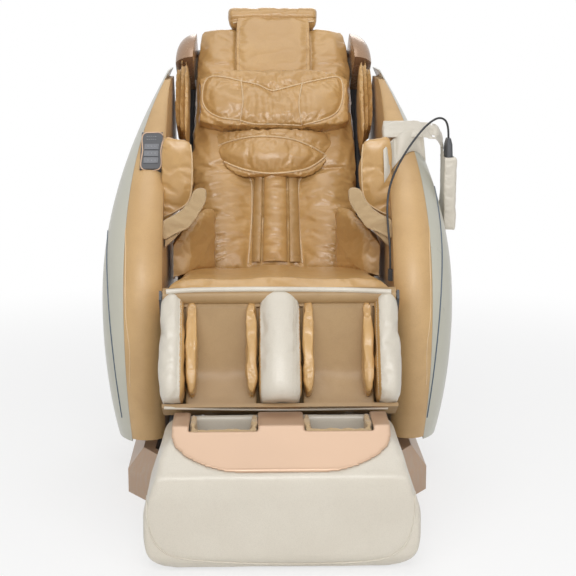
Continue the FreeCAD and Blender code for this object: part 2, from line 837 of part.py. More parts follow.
def keypad_box(x, y, z, name):
    """A box given in the keypad's own frame."""
    box = doc.addObject("Part::Box", name)
    drive(box, "Length", as_size(x[1]) - x[0])
    drive(box, "Width", as_size(y[1]) - y[0])
    drive(box, "Height", as_size(z[1]) - z[0])
    low = V(float(as_size(x[0])), float(as_size(y[0])), float(as_size(z[0])))
    at, slope = keypad_frame()
    turn = FreeCAD.Rotation(V(1, 0, 0), slope)
    box.Placement = FreeCAD.Placement(at + turn.multVec(low), turn)
    return box


def keypad_room():
    half_x = S.keypad_width / 2 + S.slack
    half_y = S.keypad_length / 2 + S.slack
    return keypad_box((-half_x, half_x), (-half_y, half_y), (-S.keypad_thick, as_size(80)), "keypad_room")


KEY_ROWS = (-33, -11, 11)


def keypad():
    half_x, half_y = S.keypad_width / 2, S.keypad_length / 2
    whole = keypad_box((-half_x, half_x), (-half_y, half_y), (-S.keypad_thick, as_size(2)), "keypad_body")
    rooms = []
    for middle in KEY_ROWS:
        rooms.append(keypad_box((-half_x + 8, half_x - 8), (as_size(middle - 9), as_size(middle + 9)),
                                (as_size(-5), as_size(10)), "key_room"))
    keep(cut("keypad_panel", whole, *rooms), "keypad_panel")
    for number, middle in enumerate(KEY_ROWS, start=1):
        key = keypad_box((-half_x + 8 + S.slack, half_x - 8 - S.slack),
                         (middle - 9 + S.slack, middle + 9 - S.slack),
                         (S.key_travel - 5 + 0.2, as_size(3.2)), "keypad_key_%d" % number)
        keep(key, "keypad_key_%d" % number)


# Handset, its pouch on the left arm, and its cord
def pouch():
    x = (S.pouch_x, S.pouch_x + S.pouch_deep)
    y = (S.pouch_front, S.pouch_rear)
    whole = block(x, y, (S.pouch_low, S.pouch_high), "pouch_body")
    room = block((x[0] + S.pouch_wall, x[1] - S.pouch_wall), (y[0] + S.pouch_wall, y[1] - S.pouch_wall),
                 (S.pouch_low + S.pouch_wall, S.pouch_high + 1), "pouch_room")
    keep(fuse("handset_pouch", cut("pouch_cut", whole, room), strap()), "handset_pouch")


def strap():
    """A wide band of leather over the arm that carries the pouch."""
    back, front = S.pouch_rear.value - 2, S.pouch_front.value + 36
    wires = []
    wall = S.pouch_wall.value
    for share in (0.0, 0.5, 1.0):
        y = front + (back - front) * share
        top = arm_crest(y) + 7
        outer = S.pouch_x.value
        inner = S.arm_inner.value - 7
        upper = [(outer + wall, S.pouch_high.value - 6), (outer + wall, top - 26), (outer - 12, top - 4),
                 (S.band_belly.value - 12, top + wall), (inner - 2, top + wall), (inner - wall, top - 12),
                 (inner - wall, top - 17)]
        lower = [(inner, top - 17), (inner, top - 10), (inner + 5, top), (S.band_belly.value - 14, top),
                 (outer - 16, top - 7), (outer + 0.5, top - 30), (outer + 0.5, S.pouch_high.value - 6)]
        ring = [V(x, y, z) for x, z in upper + lower]
        wires.append(Part.makePolygon(ring + [ring[0]]))
    return solid(Part.makeLoft(wires, True, True), "pouch_strap")


def arm_crest(y):
    """Height of the band's front edge at a place along the chair."""
    low, high = S.nose_z.value, S.shell_top.value
    for step in range(40):
        middle = (low + high) / 2
        if nose(middle) - 20 < y:
            low = middle
        else:
            high = middle
    return low


def handset():
    x = S.pouch_x.value + S.pouch_deep.value / 2
    y = (S.pouch_front.value + S.pouch_rear.value) / 2
    deep, wide = S.handset_deep.value / 2, S.handset_wide.value / 2
    low, high = S.pouch_low.value + S.pouch_wall.value + S.slack.value, S.handset_top.value
    wires = []
    for z, share, corner in ((low, 0.8, 5), (low + 30, 1.0, 7), (high - 60, 1.0, 7), (high - 14, 0.82, 6), (high, 0.5, 4)):
        wires.append(rounded("z", z, (x - deep * share, x + deep * share), (y - wide * share, y + wide * share), corner))
    keep(solid(Part.makeLoft(wires, True, True), "handset"), "handset")


CORD_ROUTE = [
    (258, -262, 556), (258, -262, 598), (253, -252, 646), (251, -234, 694), (257, -216, 738), (274, -196, 778),
    (300, -166, 816), (330, -140, 852), (359, -121, 880), (387, -109, 893), (408, -103, 877), (408, -103, 842),
]


def cord_path(route):
    """Straight runs joined by arcs that touch them, each as wide as its runs allow."""
    points = [V(*point) for point in route]
    start = points[0]
    edges = []
    for before, corner, after in zip(points, points[1:], points[2:]):
        go_in, go_out = corner - before, after - corner
        turn = go_in.getAngle(go_out)
        back = 0.45 * min(go_in.Length, go_out.Length)
        print("cord radius %.1f" % (back / math.tan(turn / 2)))
        enter = corner - go_in.normalize() * back
        leave = corner + go_out.normalize() * back
        inward = (leave - corner).normalize() + (enter - corner).normalize()
        radius = back / math.tan(turn / 2)
        centre = corner + inward.normalize() * (radius / math.cos(turn / 2))
        middle = centre + (corner - centre).normalize() * radius
        edges.append(Part.LineSegment(start, enter).toShape())
        edges.append(Part.Arc(enter, middle, leave).toShape())
        start = leave
    edges.append(Part.LineSegment(start, points[-1]).toShape())
    return Part.Wire(edges)


def handset_cord():
    path = cord_path(CORD_ROUTE)
    way = V(*CORD_ROUTE[1]) - V(*CORD_ROUTE[0])
    ring = Part.Wire([Part.Circle(V(*CORD_ROUTE[0]), way, S.cord_thick.value / 2).toShape()])
    tube = path.makePipeShell([ring], True, True)
    section = math.pi * S.cord_thick.value ** 2 / 4
    print("cord volume %.0f, section times length %.0f" % (tube.Volume, section * path.Length))
    print("cord length %.1f" % path.Length)
    keep(solid(tube, "handset_cord"), "handset_cord")


def cord_gland():
    x, y, _ = CORD_ROUTE[0]
    low = (seat_half() + 0.6, S.arm_inner)
    body = block(low, (S.gland_y - 10, S.gland_y + 10), (S.gland_top - 26, S.gland_top), "gland_body")
    keep(body, "cord_gland")


# Actuators that move the back and the leg unit
def half_turn(size):
    return size / 2


def back_lever():
    """Rest place of the lever pin under the hip, its travel and its dip."""
    half = half_turn(S.recline_range)
    y = S.hip_y + S.lever_back * sine(half)
    z = S.hip_z - S.lever_back * cosine(half)
    return y, z, 2 * S.lever_back * sine(half), S.lever_back * (as_size(1) - cosine(half))


def leg_lever():
    """Rest place of the lever pin behind the knee, its travel and its dip."""
    half = half_turn(S.lift_range)
    y = S.knee_y + S.lever_leg * sine(half)
    z = S.knee_z - S.lever_leg * cosine(half)
    return y, z, 2 * S.lever_leg * sine(half), S.lever_leg * (as_size(1) - cosine(half))


def actuator(name, x, lever, tube_ends, rod_inner):
    """A tube in its cradle, and a rod with a slotted eye round the lever pin."""
    y, z, travel, dip = lever
    level = z - dip / 2
    tube = bar(S.actuator_tube, x, tube_ends, level, name + "_outer")
    bore = bar(S.actuator_rod + S.run_fit, x, (tube_ends[0] - 1, tube_ends[1] + 1), level, name + "_bore")
    cradles = [block((x - 14, x + 14), (place - 12, place + 12), (S.deck_top, level - S.actuator_tube / 2), "cradle")
               for place in (tube_ends[0] + 30, tube_ends[1] - 30)]
    keep(cut(name + "_tube", fuse(name + "_case", tube, *cradles), bore), name + "_tube")
    side = 1 if y.value > tube_ends[1].value else -1
    near = y - side * (S.lever_pin + 10)
    far = y + side * (S.lever_pin + 8)
    rod = bar(S.actuator_rod, x, (rod_inner, near) if side > 0 else (near, rod_inner), level, name + "_shaft")
    span = (near, far) if side > 0 else (far, near)
    height = dip / 2 + S.lever_pin + 8
    eye = block((x - 7, x + 7), span, (level - height, level + height), name + "_eye")
    gap = S.lever_pin + 3
    slot = block((x - 8, x + 8), (y - gap, y + gap), (level - height + 6.5, level + height - 6.5), name + "_slot")
    keep(cut(name + "_rod", fuse(name + "_body", rod, eye), slot), name + "_rod")


def actuators():
    y, z, travel, dip = back_lever()
    start = y - 22
    actuator("recline_actuator", -S.actuator_x, back_lever(), (start - 2.6 * travel, start - travel - 12),
             start - 1.9 * travel)
    y, z, travel, dip = leg_lever()
    actuator("leg_actuator", S.actuator_x, leg_lever(), (y + 40, y + 80 + 1.3 * travel), y + 70 + 1.2 * travel)


# Back unit, drawn upright about the hip pin
def back_frame():
    tube, x, y = S.back_tube, S.back_tube_x, S.back_tube_y
    items = []
    for side in (-1, 1):
        low, high = side * x - tube, side * x + tube
        items.append(bar(tube, side * x, y, (22, S.back_tube_top), "back_post"))
        items.append(block((side * x - 6, side * x + 6), (-20, 24), (-22, 40), "hip_plate"))
    for name, z in (("low", as_size(58)), ("top", S.back_tube_top - 14)):
        items.append(bar(10, (-x, x), y + 2, z, name + "_cross"))
    pin_y, pin_z = lever_local()
    outline = [(-14, -8), (pin_y - 9, pin_z - 9), (pin_y + 9, pin_z - 9), (14, -4), (14, 56), (0, 56)]
    for edge in (-22, 10):
        x0 = -S.actuator_x + edge
        items.append(pad("YZ_Plane", outline, x0, x0 + 12, "lever_plate"))
    items.append(bar(S.lever_pin, (-S.actuator_x - 22, -S.actuator_x + 22), pin_y, pin_z, "lever_pin"))
    whole = fuse("back_frame_whole", *items)
    bores = [bar(S.hip_pin + S.run_fit, (-x - 30, x + 30), 0, 0, "hip_bore")]
    keep(put(cut("back_frame", whole, *bores), BACK), "back_frame")


def lever_local():
    """The recline lever's pin in the back's own frame."""
    turn = half_turn(S.recline_range) + S.back_lean
    return S.lever_back * sine(turn), -S.lever_back * cosine(turn)


def guide_rails():
    items = []
    size = S.guide_size
    for side in (-1, 1):
        x = side * S.guide_x
        items.append(block((x - size / 2, x + size / 2), (S.guide_y, S.guide_y + size), (S.guide_low, S.guide_high),
                           "guide"))
    for z in (S.guide_low, S.guide_high - 20):
        items.append(block((-S.back_tube_x + 4, S.back_tube_x - 4), (S.guide_y + size - 4, S.guide_y + size + 4),
                           (z, z + 20), "guide_tie"))
    for side in (-1, 1):
        x = side * S.back_tube_x
        for z in (S.guide_low, S.guide_high - 20):
            items.append(block((x - 4, x + 4), (S.back_tube_y + S.back_tube, S.guide_y + size + 4), (z, z + 20),
                               "guide_foot"))
    keep(put(fuse("guide_rails", *items), BACK), "guide_rails")


def massage_unit():
    """Carriage on the guides, two swinging arms, and four rollers."""
    size, z0 = S.guide_size, S.carriage_rest
    low, high = z0 - S.carriage_height / 2, z0 + S.carriage_height / 2
    plate_y = (S.guide_y - 18, S.guide_y - S.slack)
    out = S.guide_x + size / 2 + 10
    plate = block((-out, out), plate_y, (low, high), "carriage_plate")
    shoes = []
    for side in (-1, 1):
        near = side * (S.guide_x - size / 2 - S.slack)
        far = side * (S.guide_x - size / 2 - 10)
        x = (near, far) if side < 0 else (far, near)
        shoes.append(block(x, (plate_y[1] - 1, S.guide_y + size - 8), (low, high), "carriage_shoe"))
        near = side * (S.guide_x + size / 2 + S.slack)
        far = side * out
        x = (near, far) if side > 0 else (far, near)
        shoes.append(block(x, (plate_y[1] - 1, S.guide_y + size - 8), (low, high), "carriage_shoe"))
    motor = bar(26, (-60, 60), plate_y[1] + 24, z0, "carriage_motor")
    pins = [bar(7, side * S.arm_x, (plate_y[0] - 14, plate_y[0] + 1), z0, "arm_pin") for side in (-1, 1)]
    keep(put(fuse("massage_carriage", plate, motor, *(shoes + pins)), BACK), "massage_carriage")
    roller_y = -S.cushion_front + S.cushion_thick + S.roller_radius + 1
    for side, name in ((-1, "right"), (1, "left")):
        x = side * S.arm_x
        arm = block((x - 6, x + 6), (plate_y[0] - 12, plate_y[0] - S.slack), (z0 - S.arm_reach - 8, z0 + S.arm_reach + 8),
                    "arm_bar")
        hub = bar(15, x, (plate_y[0] - 12, plate_y[0] - S.slack), z0, "arm_hub")
        items = [arm, hub]
        outer = x + side * (S.roller_width + 9)
        for reach in (-S.arm_reach, S.arm_reach):
            pin_x = (x, outer) if side > 0 else (outer, x)
            items.append(bar(S.roller_pin, pin_x, roller_y, z0 + reach, "roller_pin"))
            items.append(block((x - 6, x + 6), (roller_y - 8, plate_y[0] - 10), (z0 + reach - 8, z0 + reach + 8), "arm_ear"))
        bore = bar(7 + S.run_fit, x, (plate_y[0] - 20, plate_y[0] + 3), z0, "arm_bore")
        keep(put(cut("knead_arm_" + name, fuse("arm_whole", *items), bore), BACK), "knead_arm_" + name)
        inner = x + side * 7
        outer = inner + side * S.roller_width
        roll_x = (inner, outer) if side > 0 else (outer, inner)
        for level, reach in (("lower", -S.arm_reach), ("upper", S.arm_reach)):
            wheel = bar(S.roller_radius, roll_x, roller_y, z0 + reach, "roller")
            hole = bar(S.roller_pin + S.run_fit, (roll_x[0] - 1, roll_x[1] + 1), roller_y, z0 + reach, "roller_hole")
            label = "roller_%s_%s" % (level, name)
            keep(put(cut(label, wheel, hole), BACK), label)


# Share of the height, how far the end is drawn in, how much of the widest half is reached
CUSHION_STATIONS = ((0, 1.0, 0), (0.06, 0.4, 0.06), (0.3, 0, 0.75), (0.45, 0, 1.0), (0.65, 0, 0.6), (0.94, 0.4, 0.05),
                    (1, 1.0, 0))


def cushion_half(share, inset, wide):
    ends = S.cushion_low_half.value + (S.cushion_high_half.value - S.cushion_low_half.value) * share
    return ends + (S.cushion_mid_half.value - ends) * wide - inset * 10


def back_cushion_form():
    """The back cushion's form, a crown either side of the middle channel."""
    front, thick = S.cushion_front.value, S.cushion_thick.value
    low, high = S.cushion_low.value, S.cushion_high.value
    wires = []
    for share, inset, wide in CUSHION_STATIONS:
        z = low + (high - low) * share
        half = cushion_half(share, inset, wide)
        y = -front + inset * 12
        back = -front + thick
        ch, deep = S.channel_half.value, S.channel_deep.value
        side = y + 16
        left = [V(-half, back, z), V(-half, side, z), V(-(half + ch) / 2 - 10, y, z), V(-ch - 1, y + deep - 2, z)]
        right = [V(ch + 1, y + deep - 2, z), V((half + ch) / 2 + 10, y, z), V(half, side, z), V(half, back, z)]
        edges = [Part.LineSegment(left[0], left[1]).toShape(), Part.Arc(left[1], left[2], left[3]).toShape(),
                 Part.LineSegment(left[3], right[0]).toShape(), Part.Arc(right[0], right[1], right[2]).toShape(),
                 Part.LineSegment(right[2], right[3]).toShape(), Part.LineSegment(right[3], left[0]).toShape()]
        wires.append(Part.Wire(edges))
    return Part.makeLoft(wires, True, False)


def back_cushion():
    keep(put(solid(back_cushion_form(), "back_cushion"), BACK), "back_cushion")


def back_shell():
    """The curved cover over the back of the back unit."""
    wires = []
    for extra in (0.0, 1.0):
        ring = []
        for share, deep in ((0, 0.72), (0.3, 1.0), (0.7, 0.82), (0.92, 0.56), (1, 0.3)):
            z = S.cover_low.value + (S.cushion_high.value + 10 - S.cover_low.value) * share
            half = S.cover_half.value - extra * S.cover_wall.value
            depth = S.cover_deep.value * deep - extra * S.cover_wall.value
            near = 34.0
            ring.append(Part.Wire([Part.Arc(V(-half, near, z), V(-half * 0.82, near + depth * 0.62, z),
                                            V(-half * 0.5, near + depth * 0.92, z)).toShape(),
                                   Part.Arc(V(-half * 0.5, near + depth * 0.92, z), V(0, near + depth, z),
                                            V(half * 0.5, near + depth * 0.92, z)).toShape(),
                                   Part.Arc(V(half * 0.5, near + depth * 0.92, z), V(half * 0.82, near + depth * 0.62, z),
                                            V(half, near, z)).toShape(),
                                   Part.LineSegment(V(half, near, z), V(-half, near, z)).toShape()]))
        wires.append(Part.makeLoft(ring, True, False))
    whole, room = wires
    posts = Part.makeBox(2 * S.cover_half.value + 20, 60, 1000, V(-S.cover_half.value - 10, -25, -100))
    shell = solid(whole.cut(room).cut(posts), "back_cover")
    bosses = []
    for side in (-1, 1):
        x = side * (S.back_tube_x - 34)
        for z in (S.guide_low, S.guide_high - 20):
            bosses.append(block((x - 7, x + 7), (S.guide_y + S.guide_size + 4.3, S.guide_y + S.cover_deep), (z + 3, z + 17),
                                "cover_boss"))
    bosses = [common("boss_" + str(i), boss, solid(whole, "cover_form")) for i, boss in enumerate(bosses)]
    keep(put(fuse("back_shell", shell, *bosses), BACK), "back_shell")


def against_cushion(form):
    """Cut a piece so that it lies beside the back cushion."""
    low, high = S.cushion_low.value, S.cushion_high.value
    side = [V(cushion_half(*station) + 5.5, -400, low + (high - low) * station[0]) for station in CUSHION_STATIONS]
    ring = [V(0, -400, low)] + side + [V(0, -400, high)]
    room = Part.Face(Part.makePolygon(ring + ring[:1])).extrude(V(0, 600, 0))
    rest = form.cut(room)
    return sorted(rest.Solids, key=lambda piece: piece.Volume)[-1]


def shoulder_parts():
    """Hard caps beside the head, and the air pads below them."""
    front = -S.cap_front.value
    rear = (S.back_tube_y - S.back_tube - S.slack).value
    wires = []
    for share, half, nose_y in ((0, 1.0, 0.0), (0.35, 0.96, 8.0), (0.75, 0.78, 34.0), (1, 0.5, 66.0)):
        z = S.cap_low.value + (S.cap_high.value - S.cap_low.value) * share
        out = S.cap_inner.value + (S.cap_outer.value - S.cap_inner.value) * half
        a, b = S.cap_inner.value, out
        wires.append(Part.Wire([
            Part.Arc(V(a, front + nose_y, z), V(a + (b - a) * 0.62, front + nose_y + 8, z), V(b, front + nose_y + 34, z)).toShape(),
            Part.LineSegment(V(b, front + nose_y + 34, z), V(b, rear, z)).toShape(),
            Part.LineSegment(V(b, rear, z), V(a, rear, z)).toShape(),
            Part.LineSegment(V(a, rear, z), V(a, front + nose_y, z)).toShape()]))
    cap = against_cushion(Part.makeLoft(wires, True, False))
    left = keep(put(solid(cap, "shoulder_cap_left"), BACK), "shoulder_cap_left")
    keep(mirror(left, "shoulder_cap_right"), "shoulder_cap_right")
    a, b = S.wing_inner.value, S.wing_outer.value
    third = (b - a) / 3
    forms = []
    for number in range(3):
        x = (a + third * number + 0.4, a + third * (number + 1) - 0.4)
        y = (-S.wing_front.value + 18 * number, -S.cushion_front.value + 30)
        high = S.cap_low.value - 0.3 - 10 * abs(number - 1)
        form = cushion("z", (S.wing_low + 24 * number, high), x, y, 5, 6, "d")
        forms.append(solid(form, "shoulder_pad_form"))
    left = keep(put(fuse("shoulder_pads_left", *forms), BACK), "shoulder_pads_left")
    keep(mirror(left, "shoulder_pads_right"), "shoulder_pads_right")


# Pillow that hangs from the top roll
def pillow_axis():
    return -S.cushion_front + S.roll_radius - 1.7, S.cushion_high + S.roll_radius + 4


def top_roll():
    """Padded roll on top of the back, on a block that rests on the frame."""
    y, z = pillow_axis()
    roll = bar(S.roll_radius, (-S.roll_half, S.roll_half), y, z, "roll")
    shelf = block((-S.roll_half + 8, S.roll_half - 8), (y, S.back_tube_y + S.back_tube),
                  (S.cushion_high + 1, z + S.roll_radius * 0.5), "roll_shelf")
    tongue = block((-S.roll_half + 30, S.roll_half - 30), (S.back_tube_y - S.back_tube, S.back_tube_y + S.back_tube),
                   (S.back_tube_top - 4 + S.slack, S.cushion_high + 10), "roll_tongue")
    keep(put(fuse("top_roll", roll, shelf, tongue), BACK), "top_roll")


def pillow():
    face = -S.cushion_front.value - 2
    flap = cushion("z", (S.flap_low, pillow_axis()[1]), (-S.flap_half, S.flap_half), (face - S.flap_thick.value, face),
                   3, 5, "d")
    keep(put(solid(flap, "pillow_flap"), BACK), "pillow_flap")
    form = cushion("x", (-S.pillow_half, S.pillow_half), (face - S.pillow_thick.value, face),
                   (S.pillow_low, S.pillow_high), 22, 14, "b")
    cutter = cushion("z", (S.flap_low - 1, S.cushion_high), (-S.flap_half - 1, S.flap_half + 1),
                     (face - S.flap_thick.value - 0.4, face + 2), 0, 5, "d")
    form = form.cut(cutter)
    keep(put(solid(form, "head_pillow"), BACK), "head_pillow")
    wires = []
    for share, wide in ((0, 0.52), (0.2, 0.82), (0.55, 0.96), (1, 1.0)):
        level = S.neck_low.value + (S.pillow_low.value + 24 - S.neck_low.value) * share
        half = S.neck_half.value * wide
        thick = S.neck_thick.value * (0.55 + 0.45 * min(1, share * 2))
        wires.append(Part.Wire([
            Part.Arc(V(-half, face - 8, level), V(0, face - thick, level), V(half, face - 8, level)).toShape(),
            Part.LineSegment(V(half, face - 8, level), V(half, face, level)).toShape(),
            Part.LineSegment(V(half, face, level), V(-half, face, level)).toShape(),
            Part.LineSegment(V(-half, face, level), V(-half, face - 8, level)).toShape()]))
    neck = Part.makeLoft(wires, True, False).cut(form)
    neck = sorted(neck.Solids, key=lambda piece: piece.Volume)[-1]
    keep(put(solid(neck, "neck_pad"), BACK), "neck_pad")


# Leg unit, drawn upright about the knee pin
def calf_shell():
    half, wall = seat_half() + 1, S.calf_wall
    low = -S.calf_low
    slope_low = (S.calf_deep, low)
    slope_high = (as_size(18), as_size(-12))
    back = pad("YZ_Plane", [slope_high, slope_low, (S.calf_deep - wall, low), (slope_high[0] - wall, slope_high[1])],
               -half, half, "calf_back")
    roll = bar(S.knee_roll, (-seat_half(), seat_half()), 0, 0, "knee_roll")
    neck = block((-seat_half(), seat_half()), (as_size(2), as_size(16)), (as_size(-24), as_size(0)), "roll_neck")
    foot = block((-half, half), (S.calf_deep - 70, S.calf_deep), (low, low + 8), "calf_floor")
    pin_y, pin_z = leg_pin_local()
    outline = [(calf_core(pin_z - 60), pin_z - 60), (pin_y + 9, pin_z - 8), (pin_y + 9, pin_z + 9),
               (pin_y - 9, pin_z + 9), (calf_core(pin_z - 20), pin_z - 20)]
    items = [back, roll, neck, foot]
    for edge in (-22, 10):
        x0 = S.actuator_x + edge
        items.append(pad("YZ_Plane", outline, x0, x0 + 12, "leg_lever"))
    items.append(bar(S.lever_pin, (S.actuator_x - 22, S.actuator_x + 22), pin_y, pin_z, "leg_pin"))
    for side in (-1, 1):
        x = side * S.slide_tube_x
        items.append(bar(S.slide_sleeve, x, S.slide_y, (low, low + 135), "slide_sleeve"))
        items.append(block((x - 8, x + 8), (S.calf_deep * 0.6, S.slide_y), (low, low + 100), "sleeve_web"))
    bores = [bar(S.knee_pin + S.run_fit, (-seat_half() - 1, seat_half() + 1), 0, 0, "knee_bore")]
    for side in (-1, 1):
        bores.append(bar(S.slide_tube + S.run_fit, side * S.slide_tube_x, S.slide_y, (low - 1, low + 140), "slide_bore"))
    keep(put(cut("calf_shell", fuse("calf_whole", *items), *bores), LEG), "calf_shell")


def leg_pin_local():
    """The lift lever's pin in the leg unit's own frame."""
    turn = half_turn(S.lift_range) + S.leg_lean
    return S.lever_leg * sine(turn), -S.lever_leg * cosine(turn)


def calf_core(z):
    """The middle of the calf shell's sloping wall at a level of the leg frame."""
    share = (as_size(-12) - z) / (S.calf_low - 12)
    return as_size(18) - S.calf_wall / 2 + share * (S.calf_deep - 18)


def calf_back_y(z):
    """Depth of the calf shell's inner face at a level of the leg frame."""
    share = (-12 - z) / (S.calf_low.value - 12)
    return 18 - S.calf_wall.value + share * (S.calf_deep.value - 18)


def calf_bolsters():
    """Three padded ribs that make the two calf channels."""
    forms = []
    front = -S.bolster_front.value
    for a, b in ((S.bolster_edge.value, S.calf_half.value), (-S.centre_half.value, S.centre_half.value),
                 (-S.calf_half.value, -S.bolster_edge.value)):
        wires = []
        for share, inset in ((0, 1.0), (0.08, 0.4), (0.3, 0.05), (0.6, 0.0), (0.85, 0.1), (0.96, 0.5), (1, 1.0)):
            z = -26 + (-S.calf_low.value + 8.3 + 26) * share
            k = inset * 7
            back = calf_back_y(z) - 0.6
            y = front + inset * 22 * (1 if share > 0.5 else 0.6)
            side = min(y + 22, back - 2)
            mid = (a + b) / 2
            wires.append(Part.Wire([
                Part.LineSegment(V(a + k, back, z), V(a + k, side, z)).toShape(),
                Part.Arc(V(a + k, side, z), V(mid, y, z), V(b - k, side, z)).toShape(),
                Part.LineSegment(V(b - k, side, z), V(b - k, back, z)).toShape(),
                Part.LineSegment(V(b - k, back, z), V(a + k, back, z)).toShape()]))
        forms.append(Part.makeLoft(wires, True, False))
    keep(put(solid(Part.makeCompound(forms), "calf_bolsters"), LEG), "calf_bolsters")


def calf_air_pads():
    """Leaf-shaped pads on both sides of each channel."""
    forms = []
    thick = S.air_pad_thick.value
    spots = ((S.bolster_edge.value - 1 - thick, S.bolster_edge.value - 1),
             (S.centre_half.value + 1, S.centre_half.value + 1 + thick))
    low, high = -S.calf_low.value + 24, -40.0
    for a, b in spots:
        for side in (-1, 1):
            x0, x1 = (a, b) if side > 0 else (-b, -a)
            wires = []
            for share, inset in PUFF:
                z = low + (high - low) * share
                back = calf_back_y(z) - 1.0
                k = inset * 8
                y = -12 + inset * 16
                corner = min(6.0, (x1 - x0 - 2 * k) * 0.4, (back - y) * 0.4)
                wires.append(rounded("z", z, (x0 + k, x1 - k), (y, back), corner))
            forms.append(Part.makeLoft(wires, True, False))
    keep(put(solid(Part.makeCompound(forms), "calf_air_pads"), LEG), "calf_air_pads")


# Foot box, drawn in place at rest
def foot_floor_line(y):
    """Height of the foot box's rear top, just under the calf unit."""
    slope = sine(S.leg_lean) / cosine(S.leg_lean)
    start_y = S.knee_y - S.calf_low * sine(S.leg_lean)
    start_z = S.knee_z - S.calf_low * cosine(S.leg_lean)
    return start_z - S.foot_gap / cosine(S.leg_lean) - (y - start_y) * slope


def well(side, spread, name):
    a, b = S.well_inner - spread, S.well_outer + spread
    x = (a, b) if side > 0 else (-b, -a)
    return block(x, (S.well_front - spread, S.well_rear + spread), (S.well_floor, S.foot_crest_z + 60), name)


def toe_room(side):
    """Room for the toes, under the sloping front."""
    x = (S.well_inner, S.well_outer) if side > 0 else (-S.well_outer, -S.well_inner)
    return block(x, (S.toe_front, S.well_front + 1), (S.well_floor, S.toe_top), "toe_room")


def rim_rear():
    """Where the foot box's flat top meets the slope under the calf unit."""
    slope = sine(S.leg_lean) / cosine(S.leg_lean)
    return S.knee_y - S.calf_low * sine(S.leg_lean) + (foot_floor_line(S.knee_y - S.calf_low * sine(S.leg_lean))
                                                       - S.foot_crest_z) / slope


def foot_box():
    outline = [(S.foot_rear, S.foot_bottom + 14), (S.foot_rear - 14, S.foot_bottom), (S.foot_front + 26, S.foot_bottom),
               (S.foot_front, S.foot_bottom + 30), (S.foot_front, S.foot_lip_z - 40), (S.foot_front + 8, S.foot_lip_z),
               (S.foot_crest_y, S.foot_crest_z), (rim_rear(), S.foot_crest_z), (S.foot_rear, foot_floor_line(S.foot_rear))]
    body = pad("YZ_Plane", outline, -S.foot_half_low, S.foot_half_low, "foot_body")
    face = pad("XZ_Plane", foot_face(), -(S.foot_rear + 40), -(S.foot_front - 40), "foot_face")
    wells = [well(side, 0, "foot_well") for side in (-1, 1)] + [toe_room(side) for side in (-1, 1)]
    low = -S.calf_low - S.foot_gap
    room = [bar(S.slide_sleeve + S.slack, side * S.slide_tube_x, S.slide_y, (low - 40 - S.slack, low + 80), "tube_room")
            for side in (-1, 1)]
    wells.append(put(fuse("tube_rooms", *room), LEG))
    keep(cut("foot_box", common("foot_rounded", body, face), *wells), "foot_box")


def foot_face():
    """The foot box seen from the front, with eased corners."""
    half, top, low = S.foot_half_low, S.foot_half_high, S.foot_bottom
    crest, big, small = S.foot_crest_z, S.foot_corner_high, S.foot_corner_low
    side = [(half - small, low), (half - small / 2, low + small * 0.134), (half - small * 0.134, low + small / 2),
            (half, low + small), (half, low + small * 2), (top, crest - big), (top - big * 0.134, crest - big / 2),
            (top - big / 2, crest - big * 0.134), (top - big, crest + 1)]
    return side + [(-x, z) for x, z in reversed(side)]


def trim_face():
    """The trim seen from the front, a crescent that hangs from the crest."""
    end = S.foot_crest_z - 10
    drop = end - S.foot_lip_z
    steps = [180.0 * step / 12 for step in range(13)]
    ring = [(S.trim_half * -math.cos(math.radians(turn)), end - drop * math.sin(math.radians(turn))) for turn in steps]
    return ring + [(S.trim_half, S.foot_crest_z + 30), (-S.trim_half, S.foot_crest_z + 30)]


def foot_trim():
    """Rim round the two foot wells, sloping down over the front."""
    wall, top = S.trim_thick, S.foot_crest_z + S.slack
    y0, z0 = S.foot_front + 8 + 6, S.foot_lip_z + 6 * 0.78
    outline = [(y0, z0 + 0.4), (S.foot_crest_y - 2, top - 0.4), (S.foot_crest_y + 4, top), (rim_rear() - 6, top),
               (rim_rear() - 6, top + wall), (S.foot_crest_y - 2, top + wall), (y0, z0 + 0.4 + wall)]
    body = pad("YZ_Plane", outline, -S.trim_half, S.trim_half, "trim_body")
    face = pad("XZ_Plane", trim_face(), -(S.foot_rear + 40), -(S.foot_front - 40), "trim_face")
    wells = [well(side, 0, "trim_well") for side in (-1, 1)]
    keep(cut("foot_trim", common("trim_rounded", body, face), *wells), "foot_trim")


def foot_pads():
    """Fabric pads on the three walls of each well, flared above the rim."""
    forms = []
    thick = S.foot_pad_thick.value
    low = S.well_floor.value + 0.3
    gap = 0.3
    front, rear = S.well_front.value + gap, S.well_rear.value
    for side in (-1, 1):
        a, b = S.well_inner.value + gap, S.well_outer.value - gap
        x = lambda u, v: (u, v) if side > 0 else (-v, -u)
        rim = S.foot_crest_z.value
        for edge in ((b - thick, b), (a, a + thick)):
            forms.append(cushion("y", (front + thick + 1, rear - 8), x(*edge), (low, rim + 8), 3, 6, ""))
        forms.append(cushion("x", x(a, b), (front, front + thick), (S.toe_top.value + 2, rim + 2), 3, 6, ""))
    keep(solid(Part.makeCompound(forms), "foot_pads"), "foot_pads")


def slide_tubes():
    low = -S.calf_low - S.foot_gap
    reach = S.foot_travel + 25
    tubes = []
    for side in (-1, 1):
        x = side * S.slide_tube_x
        tubes.append(bar(S.slide_tube, x, S.slide_y, (low - 40, low + S.foot_gap + reach), "slide_tube"))
        tubes.append(bar(S.slide_sleeve, x, S.slide_y, (low - 40, low - 1), "slide_collar"))
    keep(put(fuse("slide_tubes", *tubes), LEG), "slide_tubes")


